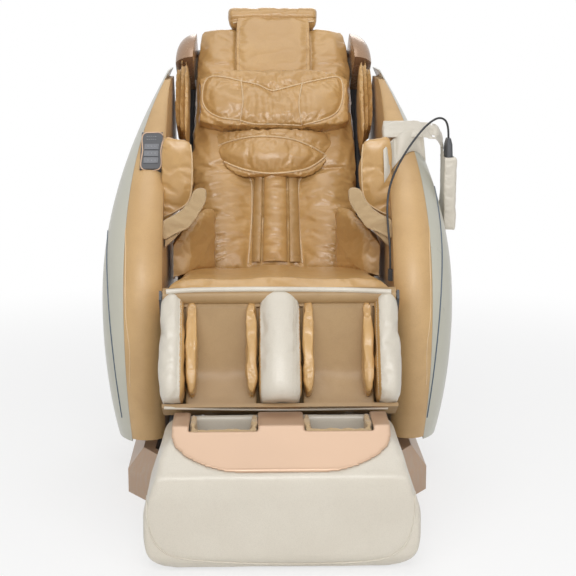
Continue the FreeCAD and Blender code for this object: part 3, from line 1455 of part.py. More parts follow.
def build():
    base_frame()
    base_skirt()
    slide_rails()
    control_box()
    air_pump()
    power_inlet()
    transport_wheels()
    seat_frame()
    rear_panel()
    seat_cushion()
    side_shells()
    arm_facings()
    arm_pads()
    hip_pads()
    keypad()
    pouch()
    handset()
    handset_cord()
    cord_gland()
    actuators()
    back_frame()
    guide_rails()
    massage_unit()
    back_cushion()
    back_shell()
    shoulder_parts()
    top_roll()
    pillow()
    calf_shell()
    calf_bolsters()
    calf_air_pads()
    foot_box()
    foot_trim()
    foot_pads()
    slide_tubes()


def check():
    """Stop before writing where anything failed or is not a closed solid."""
    for obj in doc.Objects:
        if "Invalid" in obj.State or "Error" in obj.State:
            raise RuntimeError("%s failed: %s" % (obj.Name, obj.State))
    for obj in parts:
        if obj.Shape.isNull() or not obj.Shape.isValid() or not obj.Shape.Solids:
            raise RuntimeError("%s has no valid shape" % obj.Label)


build()
doc.recompute()
check()
os.makedirs("parts", exist_ok=True)
for obj in parts:
    obj.Shape.exportStep("parts/%s.step" % obj.Label)
    box = obj.Shape.BoundBox
    print("%-24s x %7.1f %7.1f  y %7.1f %7.1f  z %7.1f %7.1f  solids %d" % (
        obj.Label, box.XMin, box.XMax, box.YMin, box.YMax, box.ZMin, box.ZMax, len(obj.Shape.Solids)))
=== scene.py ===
"""Looks of a full-body massage chair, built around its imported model."""
import math

import bmesh
import bpy
import numpy as np
from mathutils import Euler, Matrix, Vector, kdtree, noise
from mathutils.bvhtree import BVHTree


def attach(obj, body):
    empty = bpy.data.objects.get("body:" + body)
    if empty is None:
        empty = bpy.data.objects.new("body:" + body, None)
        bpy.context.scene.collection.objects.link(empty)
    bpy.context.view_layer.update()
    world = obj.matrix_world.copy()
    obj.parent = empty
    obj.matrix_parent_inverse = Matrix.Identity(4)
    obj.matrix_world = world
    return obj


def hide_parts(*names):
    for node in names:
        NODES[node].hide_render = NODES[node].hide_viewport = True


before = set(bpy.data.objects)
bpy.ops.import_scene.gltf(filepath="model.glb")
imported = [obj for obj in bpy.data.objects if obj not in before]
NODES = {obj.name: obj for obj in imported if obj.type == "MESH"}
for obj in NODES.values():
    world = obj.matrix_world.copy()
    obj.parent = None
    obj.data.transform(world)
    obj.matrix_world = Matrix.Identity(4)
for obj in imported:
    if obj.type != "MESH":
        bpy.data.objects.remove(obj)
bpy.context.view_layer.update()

bl_info = {
    "name": "Massage chair",
    "version": (1, 0, 0),
    "blender": (4, 5, 0),
    "location": "3D View > Sidebar > Chair",
    "description": "Upholstery, shells, trim and stage of a massage chair",
    "category": "Add Mesh",
}

MM = 0.001
SIDES = (("left", 1), ("right", -1))


# ---------------------------------------------------------------- sizes and colours

def length(name, text, default):
    return bpy.props.FloatProperty(name=name, description=text, default=default, min=0, unit="LENGTH",
                                   subtype="DISTANCE", precision=4)


def tint(name, text, default):
    return bpy.props.FloatVectorProperty(name=name, description=text, default=default, size=3, min=0, max=1,
                                         subtype="COLOR")


class ChairSizes(bpy.types.PropertyGroup):
    grid: length("Skin grid", "Spacing of the even faces of a padded skin", 0.005)
    piping: length("Piping", "Radius of the piping sewn into the seams", 0.0026)
    stitch: length("Stitch", "Length from one stitch to the next", 0.0055)
    thread: length("Thread", "Thickness of the sewing thread", 0.0011)
    cord: length("Cord", "Diameter of the handset cord", 0.005)


class ChairColours(bpy.types.PropertyGroup):
    tan: tint("Tan leather", "Main upholstery", (0.56, 0.335, 0.125))
    # paler copy of the tan: painted light on panels that face the lamps
    tan_painted_light: tint("Light tan leather", "Panels that catch the light", (0.60, 0.385, 0.175))
    cream: tint("Cream leather", "Bolsters, foot box and pouch", (0.655, 0.605, 0.515))
    shell: tint("Shell", "Outer side shells", (0.53, 0.52, 0.44))
    bronze: tint("Bronze", "Painted trim", (0.57, 0.385, 0.26))
    brown: tint("Brown caps", "Shoulder caps", (0.36, 0.22, 0.13))
    cloth: tint("Beige cloth", "Knitted pads", (0.60, 0.43, 0.24))
    dark: tint("Dark plastic", "Handset and keypad", (0.065, 0.066, 0.072))
    seam: tint("Shell seam", "Strip let into the side shells", (0.10, 0.13, 0.17))


def sizes():
    return bpy.context.scene.chair_sizes


def colours():
    return bpy.context.scene.chair_colours


# ---------------------------------------------------------------- shading

class Value:
    """A shader output that Python expressions can use."""

    def __init__(self, shade, socket):
        self.shade, self.socket = shade, socket

    def op(self, operation, other=0.0, flip=False):
        pair = (other, self) if flip else (self, other)
        return self.shade.node("ShaderNodeMath", {"operation": operation}, *pair)

    def __add__(self, other): return self.op("ADD", other)
    def __radd__(self, other): return self.op("ADD", other, True)
    def __sub__(self, other): return self.op("SUBTRACT", other)
    def __rsub__(self, other): return self.op("SUBTRACT", other, True)
    def __mul__(self, other): return self.op("MULTIPLY", other)
    def __rmul__(self, other): return self.op("MULTIPLY", other, True)
    def __truediv__(self, other): return self.op("DIVIDE", other)
    def __pow__(self, other): return self.op("POWER", other)
    def sine(self): return self.op("SINE")
    def clip(self): return self.shade.node("ShaderNodeClamp", {}, self)


class Shade:
    """A material and the nodes that feed its surface."""

    def __init__(self, name):
        self.material = bpy.data.materials.new(name)
        self.material.use_nodes = True
        self.tree = self.material.node_tree
        self.surface = self.tree.nodes["Principled BSDF"]

    def feed(self, socket, value):
        if isinstance(value, Value):
            self.tree.links.new(value.socket, socket)
        elif isinstance(value, (tuple, list)) and len(value) == 3 and socket.type == "RGBA":
            socket.default_value = (*value, 1)
        else:
            socket.default_value = value

    def node(self, kind, settings, *values, out=0, **named):
        made = self.tree.nodes.new(kind)
        for key, value in settings.items():
            setattr(made, key, value)
        for index, value in enumerate(values):
            self.feed(made.inputs[index], value)
        for key, value in named.items():
            self.feed(made.inputs[key.replace("_", " ")], value)
        return Value(self, made.outputs[out])

    def place(self, scale=(1, 1, 1), turn=(0, 0, 0)):
        at = self.node("ShaderNodeTexCoord", {}, out="Object")
        return self.node("ShaderNodeMapping", {}, Vector=at, Scale=scale, Rotation=turn)

    def noise(self, at, scale, detail=2.0, rough=0.5, twist=0.0):
        return self.node("ShaderNodeTexNoise", {}, Vector=at, Scale=scale, Detail=detail, Roughness=rough,
                         Distortion=twist)

    def cells(self, at, scale, feature="F1"):
        return self.node("ShaderNodeTexVoronoi", {"feature": feature}, Vector=at, Scale=scale)

    def between(self, value, low, high, start=0.0, stop=1.0):
        return self.node("ShaderNodeMapRange", {"interpolation_type": "SMOOTHSTEP"}, value, low, high, start, stop)

    def mix(self, factor, first, second):
        made = self.tree.nodes.new("ShaderNodeMix")
        made.data_type = "RGBA"
        self.feed(made.inputs[0], factor)
        self.feed(made.inputs[6], first)
        self.feed(made.inputs[7], second)
        return Value(self, made.outputs[2])

    def bump(self, height, distance, strength=1.0, under=None):
        named = {"Height": height, "Distance": distance, "Strength": strength}
        if under is not None:
            named["Normal"] = under
        return self.node("ShaderNodeBump", {}, **named)

    def finish(self, **sockets):
        for key, value in sockets.items():
            self.feed(self.surface.inputs[key.replace("_", " ")], value)
        return self.material


def darker(colour, factor, warmth=0.0):
    return (colour[0] * (factor + warmth), colour[1] * factor, colour[2] * (factor - warmth))


def leather(name, colour, rough=0.36, grain=1.0, crumple=1.0, coat=0.12, mottle=1.0):
    """Coated leather with a pebbled grain, fine creases and patchy tone and gloss."""
    s = Shade(name)
    at = s.place()
    broad = s.noise(at, 7.0, 3.0, 0.55)
    patch = s.noise(at, 31.0, 3.0, 0.6, 0.6)
    pebble = s.cells(at, 620.0)
    pores = s.noise(at, 1500.0, 2.0)
    folds = s.noise(s.place((1, 1.5, 0.7), (0.3, 0.2, 0.5)), 40.0, 3.0, 0.5, 0.2)
    tone = s.mix(s.between(broad, 0.33, 0.68), darker(colour, 1 - 0.10 * mottle, 0.015 * mottle),
                 darker(colour, 1 + 0.05 * mottle, -0.01 * mottle))
    tone = s.mix(s.between(patch, 0.45, 0.75, 0.0, 0.35 * mottle), tone, darker(colour, 0.84, 0.02))
    tone = s.mix(s.between(pebble, 0.3, 0.75, 0.0, 0.22), tone, darker(colour, 0.72, 0.01))
    gloss = rough + (patch - 0.5) * 0.16 + pebble * 0.07 + (broad - 0.5) * 0.10
    near = s.bump(pebble * -1.0 + pores * 0.35, 0.00022 * grain, 0.55)
    normal = s.bump(folds, 0.0011 * crumple, 0.4, near)
    return s.finish(Base_Color=tone, Roughness=gloss, Normal=normal, Coat_Weight=coat, Coat_Roughness=0.2)


def knit(name, colour):
    """Knitted cloth, in fine ribs."""
    s = Shade(name)
    at = s.place()
    flat = s.node("ShaderNodeSeparateXYZ", {}, at)
    up = s.node("ShaderNodeSeparateXYZ", {}, at, out=2)
    deep = s.node("ShaderNodeSeparateXYZ", {}, at, out=1)
    rib = (flat * 3900.0).sine() * ((up + deep * 0.8) * 3100.0).sine()
    fuzz = s.noise(at, 900.0, 3.0)
    broad = s.noise(at, 14.0, 3.0)
    tone = s.mix(s.between(rib, -1.0, 1.0), darker(colour, 0.70), darker(colour, 1.10))
    tone = s.mix(s.between(broad, 0.35, 0.7, 0.0, 0.3), tone, darker(colour, 0.82))
    normal = s.bump(rib * 0.5 + fuzz * 0.6, 0.0005, 0.7)
    return s.finish(Base_Color=tone, Roughness=0.78 + fuzz * 0.1, Normal=normal, Sheen_Weight=0.25,
                    Sheen_Roughness=0.4)


def moulded(name, colour, rough=0.32, peel=1.0, metal=0.0, fleck=0.0, coat=0.0, dust=0.0):
    """Painted or moulded plastic: a slight orange peel, faint handling marks and settled dust."""
    s = Shade(name)
    at = s.place()
    peeled = s.noise(at, 260.0, 2.0)
    broad = s.noise(at, 4.0, 2.0)
    marks = s.noise(s.place((1, 1, 0.25)), 90.0, 5.0, 0.7)
    tone = s.mix(s.between(broad, 0.3, 0.7), darker(colour, 0.955), darker(colour, 1.02))
    if fleck:
        tone = s.mix(s.between(s.cells(at, 2600.0), 0.05, 0.6, fleck, 0.0), tone, darker(colour, 1.35))
    if dust:
        up = s.node("ShaderNodeSeparateXYZ", {}, at, out=2)
        low = s.between(up, 0.05, 0.30, dust, 0.0) * s.between(marks, 0.35, 0.7)
        tone = s.mix(low, tone, (0.46, 0.43, 0.38))
    gloss = rough + (marks - 0.5) * 0.14 + (broad - 0.5) * 0.05
    return s.finish(Base_Color=tone, Roughness=gloss, Metallic=metal, Coat_Weight=coat, Coat_Roughness=0.12,
                    Normal=s.bump(peeled, 0.00012 * peel, 0.6))


def enamel(name, colour, rough=0.42):
    """Powder-coated steel, rubbed bright in small places."""
    s = Shade(name)
    at = s.place()
    speck = s.noise(at, 700.0, 2.0)
    worn = s.noise(at, 55.0, 6.0, 0.72)
    bare = s.between(worn, 0.66, 0.72)
    tone = s.mix(bare, s.mix(s.noise(at, 8.0), darker(colour, 0.8), darker(colour, 1.2)), (0.32, 0.31, 0.30))
    return s.finish(Base_Color=tone, Metallic=bare * 0.8, Roughness=rough + (speck - 0.5) * 0.2,
                    Normal=s.bump(speck, 0.0002, 0.5))


def bright(name, colour=(0.56, 0.56, 0.57)):
    """Ground steel, brushed along its length."""
    s = Shade(name)
    brushed = s.noise(s.place((900, 18, 900)), 1.0, 3.0)
    stain = s.noise(s.place(), 40.0, 4.0)
    tone = s.mix(s.between(stain, 0.4, 0.75, 0.0, 0.5), colour, darker(colour, 0.6))
    return s.finish(Base_Color=tone, Metallic=0.95, Roughness=0.24 + brushed * 0.22,
                    Normal=s.bump(brushed, 0.0001, 0.4))


def rubber(name, colour=(0.035, 0.035, 0.037)):
    s = Shade(name)
    at = s.place()
    grit = s.noise(at, 420.0, 3.0)
    bloom = s.noise(at, 12.0, 4.0)
    tone = s.mix(s.between(bloom, 0.4, 0.7), colour, darker(colour, 2.0))
    return s.finish(Base_Color=tone, Roughness=0.62 + grit * 0.2, Normal=s.bump(grit, 0.0003, 0.6))


def mesh_cloth(name, colour):
    """Open spacer mesh with round holes."""
    s = Shade(name)
    at = s.place()
    hole = s.cells(at, 330.0)
    tone = s.mix(s.between(hole, 0.18, 0.42), darker(colour, 0.25), colour)
    return s.finish(Base_Color=tone, Roughness=0.7 + hole * 0.1, Normal=s.bump(hole, 0.0008, 0.7))


def make_materials():
    c = colours()
    tan, light, cream = tuple(c.tan), tuple(c.tan_painted_light), tuple(c.cream)
    made = {
        "tan": leather("tan_leather", tan, 0.30, coat=0.3),
        "strap": leather("strap_leather", darker(tan, 0.82), 0.38, 0.8, 0.3),
        # smoother leather in the paler tan copy: painted light on the arm facings and the hip pads' front faces
        "tan_smooth_painted_light": leather("tan_leather_smooth_painted_light", light, 0.40, 0.6, 0.25),
        # matt leather, a third darker than the lit tan: painted shade in the recessed calf channels
        "tan_inner_painted_shade": leather("tan_leather_matt_painted_shade", darker(light, 0.66), 0.50, 0.8, 0.4),
        "cream": leather("cream_leather", cream, 0.36, 0.9, 0.35, 0.2, 0.3),
        # piping painted paler than the tan it trims: painted highlight along its round
        "piping": leather("piping_leather", (0.72, 0.53, 0.31), 0.36, 0.6, 0.2),
        "cream_piping": leather("cream_piping_leather", darker(cream, 1.04), 0.36, 0.6, 0.2),
        "thread": knit("sewing_thread", (0.72, 0.66, 0.54)),
        "tan_thread": knit("tan_sewing_thread", (0.70, 0.50, 0.27)),
        "cloth": knit("beige_knit", tuple(c.cloth)),
        "shell": moulded("side_shell_satin", tuple(c.shell), 0.30, coat=0.15, dust=0.35),
        "seam": moulded("shell_seam_strip", tuple(c.seam), 0.4),
        "bronze": moulded("bronze_paint", tuple(c.bronze), 0.33, 0.2, metal=0.2, fleck=0.08, coat=0.15),
        "skirt": moulded("skirt_paint", darker(tuple(c.bronze), 0.85), 0.42, metal=0.2, fleck=0.2, dust=0.3),
        "brown": moulded("shoulder_cap_paint", tuple(c.brown), 0.26, metal=0.2, fleck=0.25, coat=0.2),
        "dark": moulded("dark_plastic", tuple(c.dark), 0.38),
        "darker": moulded("black_plastic", (0.022, 0.022, 0.024), 0.46, 1.4),
        "lens": moulded("smoked_lens", (0.018, 0.02, 0.026), 0.14, 0.4, coat=0.5),
        "key": moulded("key_plastic", (0.16, 0.165, 0.18), 0.34),
        "glyph": moulded("key_marks", (0.42, 0.43, 0.45), 0.42),
        "steel": enamel("black_enamel", (0.05, 0.05, 0.054)),
        "bright": bright("ground_steel"),
        "rubber": rubber("moulded_rubber"),
        "mesh": mesh_cloth("grey_spacer_mesh", (0.24, 0.225, 0.20)),
        "rear": moulded("rear_cover_plastic", (0.34, 0.32, 0.28), 0.45, 1.6, dust=0.2),
    }
    return made


MATERIALS = {}


def paint(obj, *names):
    obj.data.materials.clear()
    for name in names:
        obj.data.materials.append(MATERIALS[name])
    return obj


# ---------------------------------------------------------------- frames and lines

class Lean:
    """A unit's own upright frame, in millimetres."""

    def __init__(self, y, z, degrees):
        self.y, self.z = y, z
        self.cos, self.sin = math.cos(math.radians(degrees)), math.sin(math.radians(degrees))

    def out(self, x, y, z):
        return Vector((x, self.y + y * self.cos + z * self.sin, self.z - y * self.sin + z * self.cos)) * MM

    def into(self, places):
        mm = np.asarray(places, float).reshape(-1, 3) / MM
        y, z = mm[:, 1] - self.y, mm[:, 2] - self.z
        return np.column_stack((mm[:, 0], y * self.cos - z * self.sin, y * self.sin + z * self.cos))

    def line(self, points, closed=False, step=3.0):
        """A smooth line through the points, in even short steps."""
        return even([self.out(*p) for p in points], closed, step * MM)


PLAIN = Lean(0, 0, 0)
BACK = Lean(130, 430, 30)
LEG = Lean(-424, 530, 30)


def even(points, closed, step):
    ends = points[-1:] + points + points[:2] if closed else [points[0]] + points + [points[-1]]
    fine = []
    for i in range(len(ends) - 3):
        a, b, c, d = ends[i:i + 4]
        count = max(2, int((c - b).length / (step * 0.25)))
        for k in range(count):
            t = k / count
            fine.append(0.5 * (2 * b + (c - a) * t + (2 * a - 5 * b + 4 * c - d) * t * t
                               + (3 * b - a - 3 * c + d) * t ** 3))
    if not closed:
        fine.append(points[-1].copy())
    picked, run = [fine[0]], 0.0
    for before, after in zip(fine, fine[1:]):
        run += (after - before).length
        if run >= step:
            picked.append(after)
            run = 0.0
    return picked


def mirrored(points):
    return [(-p[0], p[1], p[2]) for p in points]


# ---------------------------------------------------------------- mesh work

def only(obj):
    bpy.ops.object.select_all(action="DESELECT")
    obj.select_set(True)
    bpy.context.view_layer.objects.active = obj
    return obj


def apply_all(obj):
    only(obj)
    for modifier in list(obj.modifiers):
        bpy.ops.object.modifier_apply(modifier=modifier.name)
    return obj


def modified(obj, kind, **settings):
    modifier = obj.modifiers.new(kind.lower(), kind)
    for key, value in settings.items():
        setattr(modifier, key, value)
    return apply_all(obj)


def shade_smooth(obj, angle=None):
    only(obj)
    if angle is None:
        bpy.ops.object.shade_smooth()
    else:
        bpy.ops.object.shade_smooth_by_angle(angle=math.radians(angle))
    return obj


def copied(node, name):
    """A closed copy of a node's mesh."""
    obj = bpy.data.objects.new(name, NODES[node].data.copy())
    bpy.context.scene.collection.objects.link(obj)
    only(obj)
    bpy.ops.object.mode_set(mode="EDIT")
    bpy.ops.mesh.select_all(action="SELECT")
    bpy.ops.mesh.remove_doubles(threshold=1e-5)
    bpy.ops.object.mode_set(mode="OBJECT")
    return obj


def places(obj):
    co = np.empty(len(obj.data.vertices) * 3, np.float32)
    obj.data.vertices.foreach_get("co", co)
    return co.reshape(-1, 3).astype(float)


def outward(obj):
    normals = np.empty(len(obj.data.vertices) * 3, np.float32)
    obj.data.vertex_normals.foreach_get("vector", normals)
    return normals.reshape(-1, 3).astype(float)


def shift(obj, co):
    obj.data.vertices.foreach_set("co", np.ascontiguousarray(co, np.float32).ravel())
    obj.data.update()
    return obj


def skin(node, name, grid=None, rounds=4, shrink=0.0):
    """An even closed skin over a node's form, with its edges eased."""
    obj = copied(node, name)
    modified(obj, "REMESH", mode="VOXEL", voxel_size=grid or sizes().grid, use_smooth_shade=True)
    if rounds:
        modified(obj, "SMOOTH", factor=0.5, iterations=rounds)
    if shrink:
        shift(obj, places(obj) - outward(obj) * shrink)
    return obj


def fine(obj, levels=1):
    return modified(obj, "SUBSURF", levels=levels, render_levels=levels)


def near(obj, line, reach):
    """For each vertex within reach of a line: its index, its distance and how far along it lies."""
    co = places(obj)
    low = np.min([list(p) for p in line], 0) - reach
    high = np.max([list(p) for p in line], 0) + reach
    inside = np.nonzero(np.all((co > low) & (co < high), axis=1))[0]
    tree = kdtree.KDTree(len(line))
    for i, p in enumerate(line):
        tree.insert(p, i)
    tree.balance()
    run = [0.0]
    for a, b in zip(line, line[1:]):
        run.append(run[-1] + (b - a).length)
    found = []
    for i in inside:
        _, k, d = tree.find(co[i])
        if d < reach:
            found.append((i, d, run[k]))
    return found


def seam(obj, line, depth=0.0022, width=0.004):
    """Draw the skin in along a sewn line."""
    co, out = places(obj), outward(obj)
    for i, d, _ in near(obj, line, width * 3):
        co[i] -= out[i] * depth * math.exp(-(d / width) ** 2)
    return shift(obj, co)


def pucker(obj, line, height=0.002, wave=0.016, reach=0.04, seed=0.0):
    """Wrinkles that run off a sewn line and die away."""
    co, out = places(obj), outward(obj)
    for i, d, along in near(obj, line, reach * 2.6):
        p = Vector((along / wave, d / (reach * 1.3), seed))
        rise = noise.noise(p) + 0.5 * noise.noise(p * 2.1)
        sharp = -abs(rise) * 1.6 + 0.4
        co[i] += out[i] * height * (0.5 * rise + 0.5 * sharp) * math.exp(-(d / reach) ** 1.5)
    return shift(obj, co)


def crumple(obj, frame_, height, scale, seed=0.0, where=None):
    """Broad creases over a skin; scale is the size of a fold in each direction, in millimetres."""
    co, out = places(obj), outward(obj)
    local = frame_.into(co)
    for i, (x, y, z) in enumerate(local):
        much = 1.0 if where is None else where(x, y, z)
        if much > 0.01:
            p = Vector((x / scale[0] + seed, y / scale[1], z / scale[2]))
            p += noise.noise_vector(p * 0.6) * 0.7
            rise = noise.noise(p)
            fold = 1 - min(1.0, abs(noise.noise(p * 1.3 + Vector((7, 3, 1)))) * 3.2)
            co[i] += out[i] * height * much * (rise * 1.1 - fold * fold * 0.22)
    return shift(obj, co)


def inflate(obj, held, pressure=4.0, grow=0.04, cap=0.010):
    """Stuff a skin: it swells, and wrinkles where it is held. held gives what stays, from 0 to 1."""
    rest = places(obj)
    group = obj.vertex_groups.new(name="held")
    for tenth in range(1, 11):
        chosen = np.nonzero(np.round(held * 10) == tenth)[0]
        if len(chosen):
            group.add([int(i) for i in chosen], tenth / 10, "REPLACE")
    modifier = obj.modifiers.new("stuffing", "CLOTH")
    cloth = modifier.settings
    cloth.quality = 4
    cloth.mass = 0.3
    cloth.tension_stiffness = cloth.compression_stiffness = 12
    cloth.shear_stiffness = 5
    cloth.bending_stiffness = 0.4
    cloth.vertex_group_mass = "held"
    cloth.use_pressure = True
    cloth.uniform_pressure_force = pressure
    cloth.shrink_min = -grow
    cloth.effector_weights.gravity = 0
    modifier.point_cache.frame_start, modifier.point_cache.frame_end = 1, 20
    for number in range(1, 21):
        bpy.context.scene.frame_set(number)
    apply_all(obj)
    bpy.context.scene.frame_set(1)
    obj.vertex_groups.clear()
    moved = places(obj) - rest
    far = np.linalg.norm(moved, axis=1, keepdims=True)
    return shift(obj, rest + moved * np.minimum(1, cap / np.maximum(far, 1e-9)))


def tube(name, line, radius, closed=False, sides=3):
    """A round strip along a line."""
    curve = bpy.data.curves.new(name, "CURVE")
    curve.dimensions = "3D"
    curve.bevel_depth = radius
    curve.bevel_resolution = sides
    curve.use_fill_caps = True
    spline = curve.splines.new("POLY")
    spline.points.add(len(line) - 1)
    spline.points.foreach_set("co", [v for p in line for v in (*p, 1.0)])
    spline.use_cyclic_u = closed
    obj = bpy.data.objects.new(name, curve)
    bpy.context.scene.collection.objects.link(obj)
    only(obj)
    bpy.ops.object.convert(target="MESH")
    return shade_smooth(bpy.context.view_layer.objects.active)


def laid(obj, line, lift=0.0):
    """The line laid on a piece's surface."""
    found = []
    for p in line:
        hit, at, normal, _ = obj.closest_point_on_mesh(p)
        found.append(at + normal * lift if hit else p)
    return found


def stitches(name, line, closed=False):
    """A row of thread stitches along a line."""
    size = sizes()
    rail = bpy.data.curves.new(name + "_rail", "CURVE")
    rail.dimensions = "3D"
    spline = rail.splines.new("POLY")
    spline.points.add(len(line) - 1)
    spline.points.foreach_set("co", [v for p in line for v in (*p, 1.0)])
    spline.use_cyclic_u = closed
    rail_obj = bpy.data.objects.new(name + "_rail", rail)
    bpy.context.scene.collection.objects.link(rail_obj)
    bpy.ops.object.select_all(action="DESELECT")
    bpy.ops.mesh.primitive_cylinder_add(vertices=6, radius=size.thread / 2, depth=size.stitch * 0.66,
                                        location=(size.stitch / 2, 0, 0), rotation=(0, math.pi / 2, 0))
    obj = bpy.context.active_object
    obj.name = name
    bpy.ops.object.transform_apply(location=True, rotation=True, scale=True)
    row = obj.modifiers.new("row", "ARRAY")
    row.fit_type = "FIT_CURVE"
    row.curve = rail_obj
    row.use_relative_offset = False
    row.use_constant_offset = True
    row.constant_offset_displace = (size.stitch, 0, 0)
    bend = obj.modifiers.new("bend", "CURVE")
    bend.object = rail_obj
    apply_all(obj)
    bpy.data.objects.remove(rail_obj)
    return shade_smooth(obj)


def settle(obj, body, *nodes, slot=None, fill=None):
    """Hand a finished piece to the body that it moves with."""
    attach(obj, body)
    if nodes:
        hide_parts(*nodes)
    return obj


def trimmed(name, obj, line, body, material="piping", radius=None, closed=False, lift=0.4, slot="tan_leather"):
    """Piping laid in a seam of a piece."""
    radius = radius or sizes().piping
    strip = tube(name, laid(obj, line, radius * lift), radius, closed)
    return settle(paint(strip, material), body, slot=slot)


def sewn(name, obj, line, body, material="tan_thread", slot="tan_leather"):
    row = stitches(name, laid(obj, line, sizes().thread * 0.25))
    return settle(paint(row, material), body, slot=slot)


# ---------------------------------------------------------------- lines drawn as the photograph shows them

EYE = Vector((-0.058, -3.3, 1.14))
TILT, TURN = math.radians(90 - 11.65), -math.radians(1.53)
LENS, SENSOR, PICTURE = 84.4, 36.0, 576
UP, FORWARD = (0.0, 0.0, 1.0), (0.0, -0.866, 0.5)


def sight(x, y):
    """The way that the camera looks through a point of its picture."""
    way = Vector(((x / PICTURE - 0.5) * SENSOR / LENS, (0.5 - y / PICTURE) * SENSOR / LENS, -1))
    way.rotate(Euler((TILT, 0, TURN)))
    return way.normalized()


def surface(obj):
    """What rays and lines meet: one piece, or several together."""
    corners, faces = [], []
    for piece in obj if isinstance(obj, list) else [obj]:
        start = len(corners)
        corners.extend(v.co for v in piece.data.vertices)
        faces.extend(tuple(start + k for k in p.vertices) for p in piece.data.polygons)
    return BVHTree.FromPolygons(corners, faces)


def seen(obj, points, closed=False, lift=0.0, leap=0.03):
    """A line over a piece, through points of the camera's picture."""
    tree, found = surface(obj), []
    for p in even([Vector((x, y, 0)) for x, y in points], closed, 1.0):
        at, normal, _, _ = tree.ray_cast(EYE, sight(p.x, p.y))
        if at is not None and (not found or (at - found[-1]).length < leap):
            found.append(at + normal * lift)
    return found


def flipped(points, middle=546.0):
    return [(middle - x, y) for x, y in points]


def struck(obj, points, way):
    """A line over a piece, found by looking along one direction from each point, in millimetres."""
    tree, found = surface(obj), []
    for p in even([Vector(q) * MM for q in points], False, 0.006):
        at, _, _, _ = tree.ray_cast(p, Vector(way))
        if at is not None:
            found.append(at)
    return found


def holding(obj, facing, lines, reach=0.008):
    """How firmly each vertex stays: at the back of the piece and along its seams."""
    held = np.clip(0.15 - outward(obj) @ np.array(facing), 0, 1)
    for line in lines:
        for i, d, _ in near(obj, line, reach * 2):
            held[i] = max(held[i], math.exp(-(d / reach) ** 2))
    return held


def stuffed(node, name, facing, drawn=(), grid=None, rounds=4, shrink=0.002, cap=0.008, depth=0.003, levels=1):
    """A node's form as a stuffed skin, sewn along lines of the camera's picture."""
    obj = skin(node, name, grid, rounds, shrink)
    lines = [line for line in (seen(obj, points) for points in drawn) if len(line) > 3]
    for line in lines:
        seam(obj, line, depth, 0.007)
    inflate(obj, holding(obj, facing, lines), cap=cap)
    if levels:
        fine(obj, levels)
    for line in lines:
        seam(obj, line, depth * 0.5, 0.0028)
    return obj


def piped(name, obj, points, body, material="piping", radius=None, closed=False, slot="tan_leather"):
    """Piping through points of the camera's picture."""
    line = seen(obj, points, closed)
    if len(line) < 4:
        return None
    radius = radius or sizes().piping
    strip = tube(name, [p + Vector((0, -radius * 0.3, radius * 0.2)) for p in line], radius, closed)
    return settle(paint(strip, material), body, slot=slot)


def stitched(name, obj, points, body, material="tan_thread", slot="tan_leather"):
    line = seen(obj, points, lift=sizes().thread * 0.3)
    if len(line) < 4:
        return None
    return settle(paint(stitches(name, line), material), body, slot=slot)


def eased(line, rounds):
    """The line with its steps eased out; its ends stay."""
    for _ in range(rounds):
        line = line[:1] + [(a + b + c) / 3 for a, b, c in zip(line, line[1:], line[2:])] + line[-1:]
    return line


def ribbon(name, obj, first, second, crown, thick, columns=7, ruffle=0.0, wave=0.012, leap=0.03):
    """A crowned strip between two lines of the camera's picture, lying on a piece."""
    edges = [eased(seen(obj, points, leap=leap), 14 if leap > 0.1 else 0) for points in (first, second)]
    count = min(len(line) for line in edges) - 1
    rows = []
    for i in range(count):
        a, b = (line[int(i * (len(line) - 1) / count)] for line in edges)
        row = []
        for k in range(columns):
            t = k / (columns - 1)
            swell = math.sin(math.pi * t)
            fold = ruffle * swell * noise.noise(Vector((i * 0.0024 / wave, t * 0.6, 3.1)))
            row.append(a.lerp(b, t) + Vector(FORWARD) * (thick + crown * swell ** 0.6 + fold))
        rows.append(row)
    mesh = bpy.data.meshes.new(name)
    mesh.from_pydata([p for row in rows for p in row], [],
                     [(i * columns + k, (i + 1) * columns + k, (i + 1) * columns + k + 1, i * columns + k + 1)
                      for i in range(count - 1) for k in range(columns - 1)])
    strip = bpy.data.objects.new(name, mesh)
    bpy.context.scene.collection.objects.link(strip)
    only(strip)
    bpy.ops.object.mode_set(mode="EDIT")
    bpy.ops.mesh.select_all(action="SELECT")
    bpy.ops.mesh.normals_make_consistent(inside=False)
    bpy.ops.object.mode_set(mode="OBJECT")
    modified(strip, "SOLIDIFY", thickness=thick, offset=0)
    fine(strip)
    return shade_smooth(strip)


def leaf(name, outline, y, thick, crown):
    """A closed leather flap whose outline is drawn in the camera's picture, standing at a depth y."""
    ring = []
    for p in even([Vector((px, py, 0)) for px, py in outline], True, 1.5):
        way = sight(p.x, p.y)
        ring.append(EYE + way * ((y * MM - EYE.y) / way.y))
    made = bmesh.new()
    made.faces.new([made.verts.new(p) for p in ring])
    grown = bmesh.ops.extrude_face_region(made, geom=list(made.faces))
    bmesh.ops.translate(made, vec=(0, thick, 0), verts=[v for v in grown["geom"] if isinstance(v, bmesh.types.BMVert)])
    bmesh.ops.recalc_face_normals(made, faces=made.faces)
    mesh = bpy.data.meshes.new(name)
    made.to_mesh(mesh)
    made.free()
    obj = bpy.data.objects.new(name, mesh)
    bpy.context.scene.collection.objects.link(obj)
    modified(obj, "REMESH", mode="VOXEL", voxel_size=0.004, use_smooth_shade=True)
    modified(obj, "SMOOTH", factor=0.5, iterations=6)
    inflate(obj, holding(obj, (0, -1, 0), []), cap=crown)
    fine(obj)
    return obj


